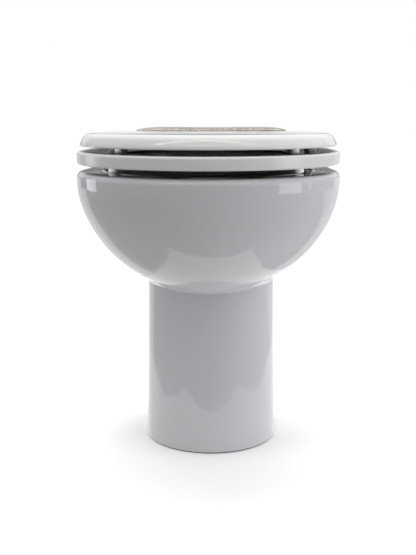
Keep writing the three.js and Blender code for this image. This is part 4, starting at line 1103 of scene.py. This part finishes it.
# Floor's glow, how much it loses round the foot as a painted shadow, where that shadow lies, and from where
# to where it fades
FLOOR_GLOW = 0.34
FOOT_SHADE = 0.14
SHADE_PLACE = (-0.02, -0.108, 0.0)
SHADE_STRETCH = (1.0, 1.8, 0.0)
SHADE_FADE = (0.10, 0.26)
# Table top that lights the object from below: half its width, its front and rear edges, its level and glow
TABLE_HALF_WIDTH = 0.45
TABLE_FRONT, TABLE_REAR = -0.32, 0.7
TABLE_LEVEL = -0.0005
TABLE_GLOW = 0.045
# What lies behind the object, as shine shows it: glow and plan corners of the sweep and of the floor's strips
BEHIND = {
    "sweep": (0.7, [
        (-0.55, 0.55), (0.55, 0.55), (1.1, 0.80), (2.5, 1.1), (2.5, 3.0), (-2.5, 3.0), (-2.5, 1.0),
        (-1.2, 0.72),
    ]),
    "left_strip": (0.34, [(-0.25, 0.085), (0.0, 0.20), (0.0, 3.0), (-2.5, 3.0), (-2.5, 1.25)]),
    "left_wedge": (0.9, [(-0.25, 0.138), (0.0, 0.20), (0.0, 3.0), (-2.5, 3.0), (-2.5, 1.93)]),
    "right_strip": (0.30, [(0.267, 0.077), (2.48, 1.006), (2.25, 1.446), (0.255, 0.119)]),
    "right_wedge": (0.75, [(0.236, 0.220), (1.94, 2.15), (2.5, 3.0), (0.0, 3.0), (0.0, 0.2)]),
}
# These lie one over another, the first at this level and each next one this much higher
BEHIND_LEVEL = -0.003
BEHIND_STEP = 0.0004
# Glowing cards that only shine shows: reach across, in depth and in height, then glow and tint
CARDS = {
    "backdrop_low": ((-2.5, 2.5), 3.0, (0.0, 0.565), 0.85, WHITE),
    "backdrop_high": ((-2.5, 2.5), 3.0, (0.76, 2.6), 0.85, WHITE),
    "ceiling": ((-1.0, 0.8), (-0.45, 0.95), 2.3, 0.9, (1.0, 0.98, 0.94, 1.0)),
    "front_strip_light": ((-1.9, 1.9), (-1.11, -1.05), 2.3, 14.0, WHITE),
    "low_strip_light": ((-1.9, 1.9), (-1.58, -1.52), 2.3, 9.0, WHITE),
    "warm_wall": ((-0.8, 0.8), -1.8, (1.3, 1.7), 0.9, (1.0, 0.86, 0.66, 1.0)),
    "left_window": (-2.5, (0.80, 1.72), (0.0, 1.0), 2.5, (0.88, 0.93, 1.0, 1.0)),
    "right_window": (2.5, (-1.14, -0.07), (0.05, 1.1), 2.4, WHITE),
    "right_gap": (2.5, (0.30, 0.45), (0.1, 1.8), 1.2, WHITE),
}
# Glow of the dim room from the front and what each other side adds to it, on matt surfaces and in shine
ROOM_ON_MATT = (0.265, {"right": 0.63, "left": 0.16, "behind": 0.6, "above": 0.3})
ROOM_IN_SHINE = (0.09, {"right": 0.10, "left": 0.05, "behind": 0.2, "above": 0.45})
# A side's axis, and from where to where on it the side's glow grows, as shares of the dome's radius
ROOM_SIDES = {
    "right": ("X", 0.0, 1.0),
    "left": ("X", -0.35, -1.0),
    "behind": ("Y", -0.1, 0.9),
    "above": ("Z", 0.0, 0.9),
}
ROOM_TINT = (0.985, 0.985, 1.0, 1.0)
# Lamps: place, target, size and power. A pad lamp's place and target are those of the right side
OVERHEAD = ((-0.12, 0.25, 2.3), (0.0, 0.05, 0.0), (1.8, 1.4), 26.0)
PAD_LAMP = ((1.28, -0.5, 0.46), (0.12, -0.09, 0.45), (0.3, 0.2), 12.0)


def dome_mesh():
    """Corners and faces of a globe with open pin holes at its poles."""
    rows, count = 24, 48
    turn = np.linspace(0.0, 2.0 * np.pi, count, endpoint=False)
    tilt = np.linspace(-0.499 * np.pi, 0.499 * np.pi, rows)[:, None]
    height = np.broadcast_to(np.sin(tilt), (rows, count))
    globe = np.stack([np.cos(tilt) * np.cos(turn), np.cos(tilt) * np.sin(turn), height], -1)
    row, step = np.meshgrid(np.arange(rows - 1), np.arange(count), indexing="ij")
    beside = (step + 1) % count
    quads = [row * count + step, row * count + beside, (row + 1) * count + beside, (row + 1) * count + step]
    return DOME_RADIUS * globe.reshape(-1, 3), np.stack(quads, -1).reshape(-1, 4).tolist()


def room_glow(name, front, sides):
    """A glow that follows the direction from the middle of the room."""
    material, tree, place = blank(name)
    split = add(tree, "ShaderNodeSeparateXYZ", None, {"Vector": place})
    total = front
    for side, level in sides.items():
        axis, start, end = ROOM_SIDES[side]
        inputs = {
            "Value": split.outputs[axis], "From Min": start * DOME_RADIUS, "From Max": end * DOME_RADIUS,
            "To Min": 0.0, "To Max": level,
        }
        part = add(tree, "ShaderNodeMapRange", {"interpolation_type": "SMOOTHSTEP"}, inputs).outputs["Result"]
        total = add(tree, "ShaderNodeMath", {"operation": "ADD"}, {0: total, 1: part}).outputs[0]
    glow_out(tree, total, ROOM_TINT)
    return material


def rectangle(x, y, z):
    """Corners of a level or upright rectangle: one of the three is a single place, the others are spans."""
    if np.isscalar(z):
        return [(x[0], y[0], z), (x[1], y[0], z), (x[1], y[1], z), (x[0], y[1], z)]
    if np.isscalar(y):
        return [(x[0], y, z[0]), (x[1], y, z[0]), (x[1], y, z[1]), (x[0], y, z[1])]
    return [(x, y[0], z[0]), (x, y[1], z[0]), (x, y[1], z[1]), (x, y[0], z[1])]


def card(name, corners, strength, tint=WHITE):
    """A glowing card that only reflections show."""
    face = [tuple(range(len(corners)))]
    stage_mesh(name, corners, face, glowing(name, strength, tint), camera=False, diffuse=False, shadow=False)


def lay_floor():
    """The white floor that the camera alone sees, with a painted shadow: its glow lowered in an oval round
    the foot.
    """
    material, tree, place = blank("floor_white")
    squashed = {"Vector": place, "Location": SHADE_PLACE, "Scale": SHADE_STRETCH}
    oval_place = add(tree, "ShaderNodeMapping", None, squashed).outputs["Vector"]
    away = add(tree, "ShaderNodeVectorMath", {"operation": "LENGTH"}, {0: oval_place}).outputs["Value"]
    near, far = SHADE_FADE
    shade = {
        "Value": away, "From Min": near, "From Max": far,
        "To Min": FLOOR_GLOW - FOOT_SHADE, "To Max": FLOOR_GLOW,
    }
    glow = add(tree, "ShaderNodeMapRange", {"interpolation_type": "SMOOTHSTEP"}, shade).outputs["Result"]
    reach = (-FLOOR_REACH, FLOOR_REACH)
    stage_mesh("floor", rectangle(reach, reach, 0.0), [(0, 1, 2, 3)], lit_white(material, tree, glow),
               glossy=False, diffuse=False, shadow=False)


def lay_table():
    """The table top that only light bounced off matt surfaces meets."""
    material, tree, _ = blank("table_white")
    corners = rectangle((-TABLE_HALF_WIDTH, TABLE_HALF_WIDTH), (TABLE_FRONT, TABLE_REAR), TABLE_LEVEL)
    stage_mesh("table", corners, [(0, 1, 2, 3)], lit_white(material, tree, TABLE_GLOW), camera=False,
               glossy=False, shadow=False)


def lay_platform():
    """The platform that shine shows: a flat part, a curl from there up to its edge, and a base under both."""
    count = len(PLATFORM)
    base = [(x, y, BASE_LEVEL) for x, y, _ in PLATFORM]
    flat = [
        (FLAT_SHARE * x, FLAT_SHARE * (y - FLAT_MIDDLE) + FLAT_MIDDLE, FLAT_LEVEL) for x, y, _ in PLATFORM
    ]
    curl = [(i, (i + 1) % count, count + (i + 1) % count, count + i) for i in range(count)]
    bases = [tuple(range(count, 2 * count)), tuple(range(2 * count, 3 * count))]
    white = glowing("platform_white", PLATFORM_SHINE)
    stage_mesh("platform", [*PLATFORM, *flat, *base], [*curl, *bases], white, camera=False, diffuse=False,
               shadow=False)


def set_stage(pads):
    lay_floor()
    lay_table()
    lay_platform()
    points, faces = dome_mesh()
    matt = room_glow("dim_room_on_matt", *ROOM_ON_MATT)
    stage_mesh("room_for_matt", points, faces, matt, camera=False, glossy=False, shadow=False)
    shine = room_glow("dim_room_in_shine", *ROOM_IN_SHINE)
    stage_mesh("room_for_shine", points, faces, shine, camera=False, diffuse=False, shadow=False)
    for number, (name, (glow, plan)) in enumerate(BEHIND.items()):
        card(name, [(x, y, BEHIND_LEVEL + BEHIND_STEP * number) for x, y in plan], glow)
    for name, (x, y, z, glow, tint) in CARDS.items():
        card(name, rectangle(x, y, z), glow, tint)
    world = bpy.data.worlds.new("studio")
    world.use_nodes = True
    background = world.node_tree.nodes["Background"]
    background.inputs["Color"].default_value = WHITE
    background.inputs["Strength"].default_value = 1.0
    bpy.context.scene.world = world
    area_lamp("overhead", *OVERHEAD)
    light_pads(pads)


def area_lamp(name, place, target, size, power):
    """A rectangular soft white light aimed at a point, which shine doesn't show."""
    lamp = bpy.data.lights.new(name, "AREA")
    lamp.shape = "RECTANGLE"
    lamp.size, lamp.size_y = size
    lamp.energy = power
    made = bpy.data.objects.new(name, lamp)
    made.location = place
    direction = Vector(target) - Vector(place)
    made.rotation_euler = direction.to_track_quat("-Z", "Y").to_euler()
    made.visible_camera = False
    made.visible_glossy = False
    bpy.context.scene.collection.objects.link(made)
    return made


def light_pads(pads):
    """A small lamp on each side that reaches that side's rest pads alone, past the boards that shade them."""
    nothing = bpy.data.collections.new("no_blockers")
    place, target, size, power = PAD_LAMP
    for name, side in SIDES:
        lit = bpy.data.collections.new(f"rest_pads_{name}")
        for pad in pads:
            if name in pad.name:
                lit.objects.link(pad)
        mirrored = ((side * x, y, z) for x, y, z in (place, target))
        lamp = area_lamp(f"pad_lamp_{name}", *mirrored, size, power)
        lamp.light_linking.receiver_collection = lit
        lamp.light_linking.blocker_collection = nothing


def dress_plain_nodes():
    """Nodes that no piece stands for wear the material of their slot, and their edges are softened."""
    for part in frame["record"]["subparts"]:
        node = frame["nodes"][part["node"]]
        if not node.hide_render:
            node.data.materials.clear()
            node.data.materials.append(SLOT_MATERIALS[part["material_slot"]])
            soften(node, width=0.35, segments=2)


make_china()
make_seat()
make_lid()
rest_pads = make_pads()
make_rod()
make_collar()
make_caps()
make_pillars()
make_leaves()
make_leaf_screws()
make_bracket_bolts()
make_panel()
make_spigot()
make_gland()

dress_plain_nodes()
set_camera()
set_stage(rest_pads)
bpy.context.scene.view_settings.view_transform = "Standard"

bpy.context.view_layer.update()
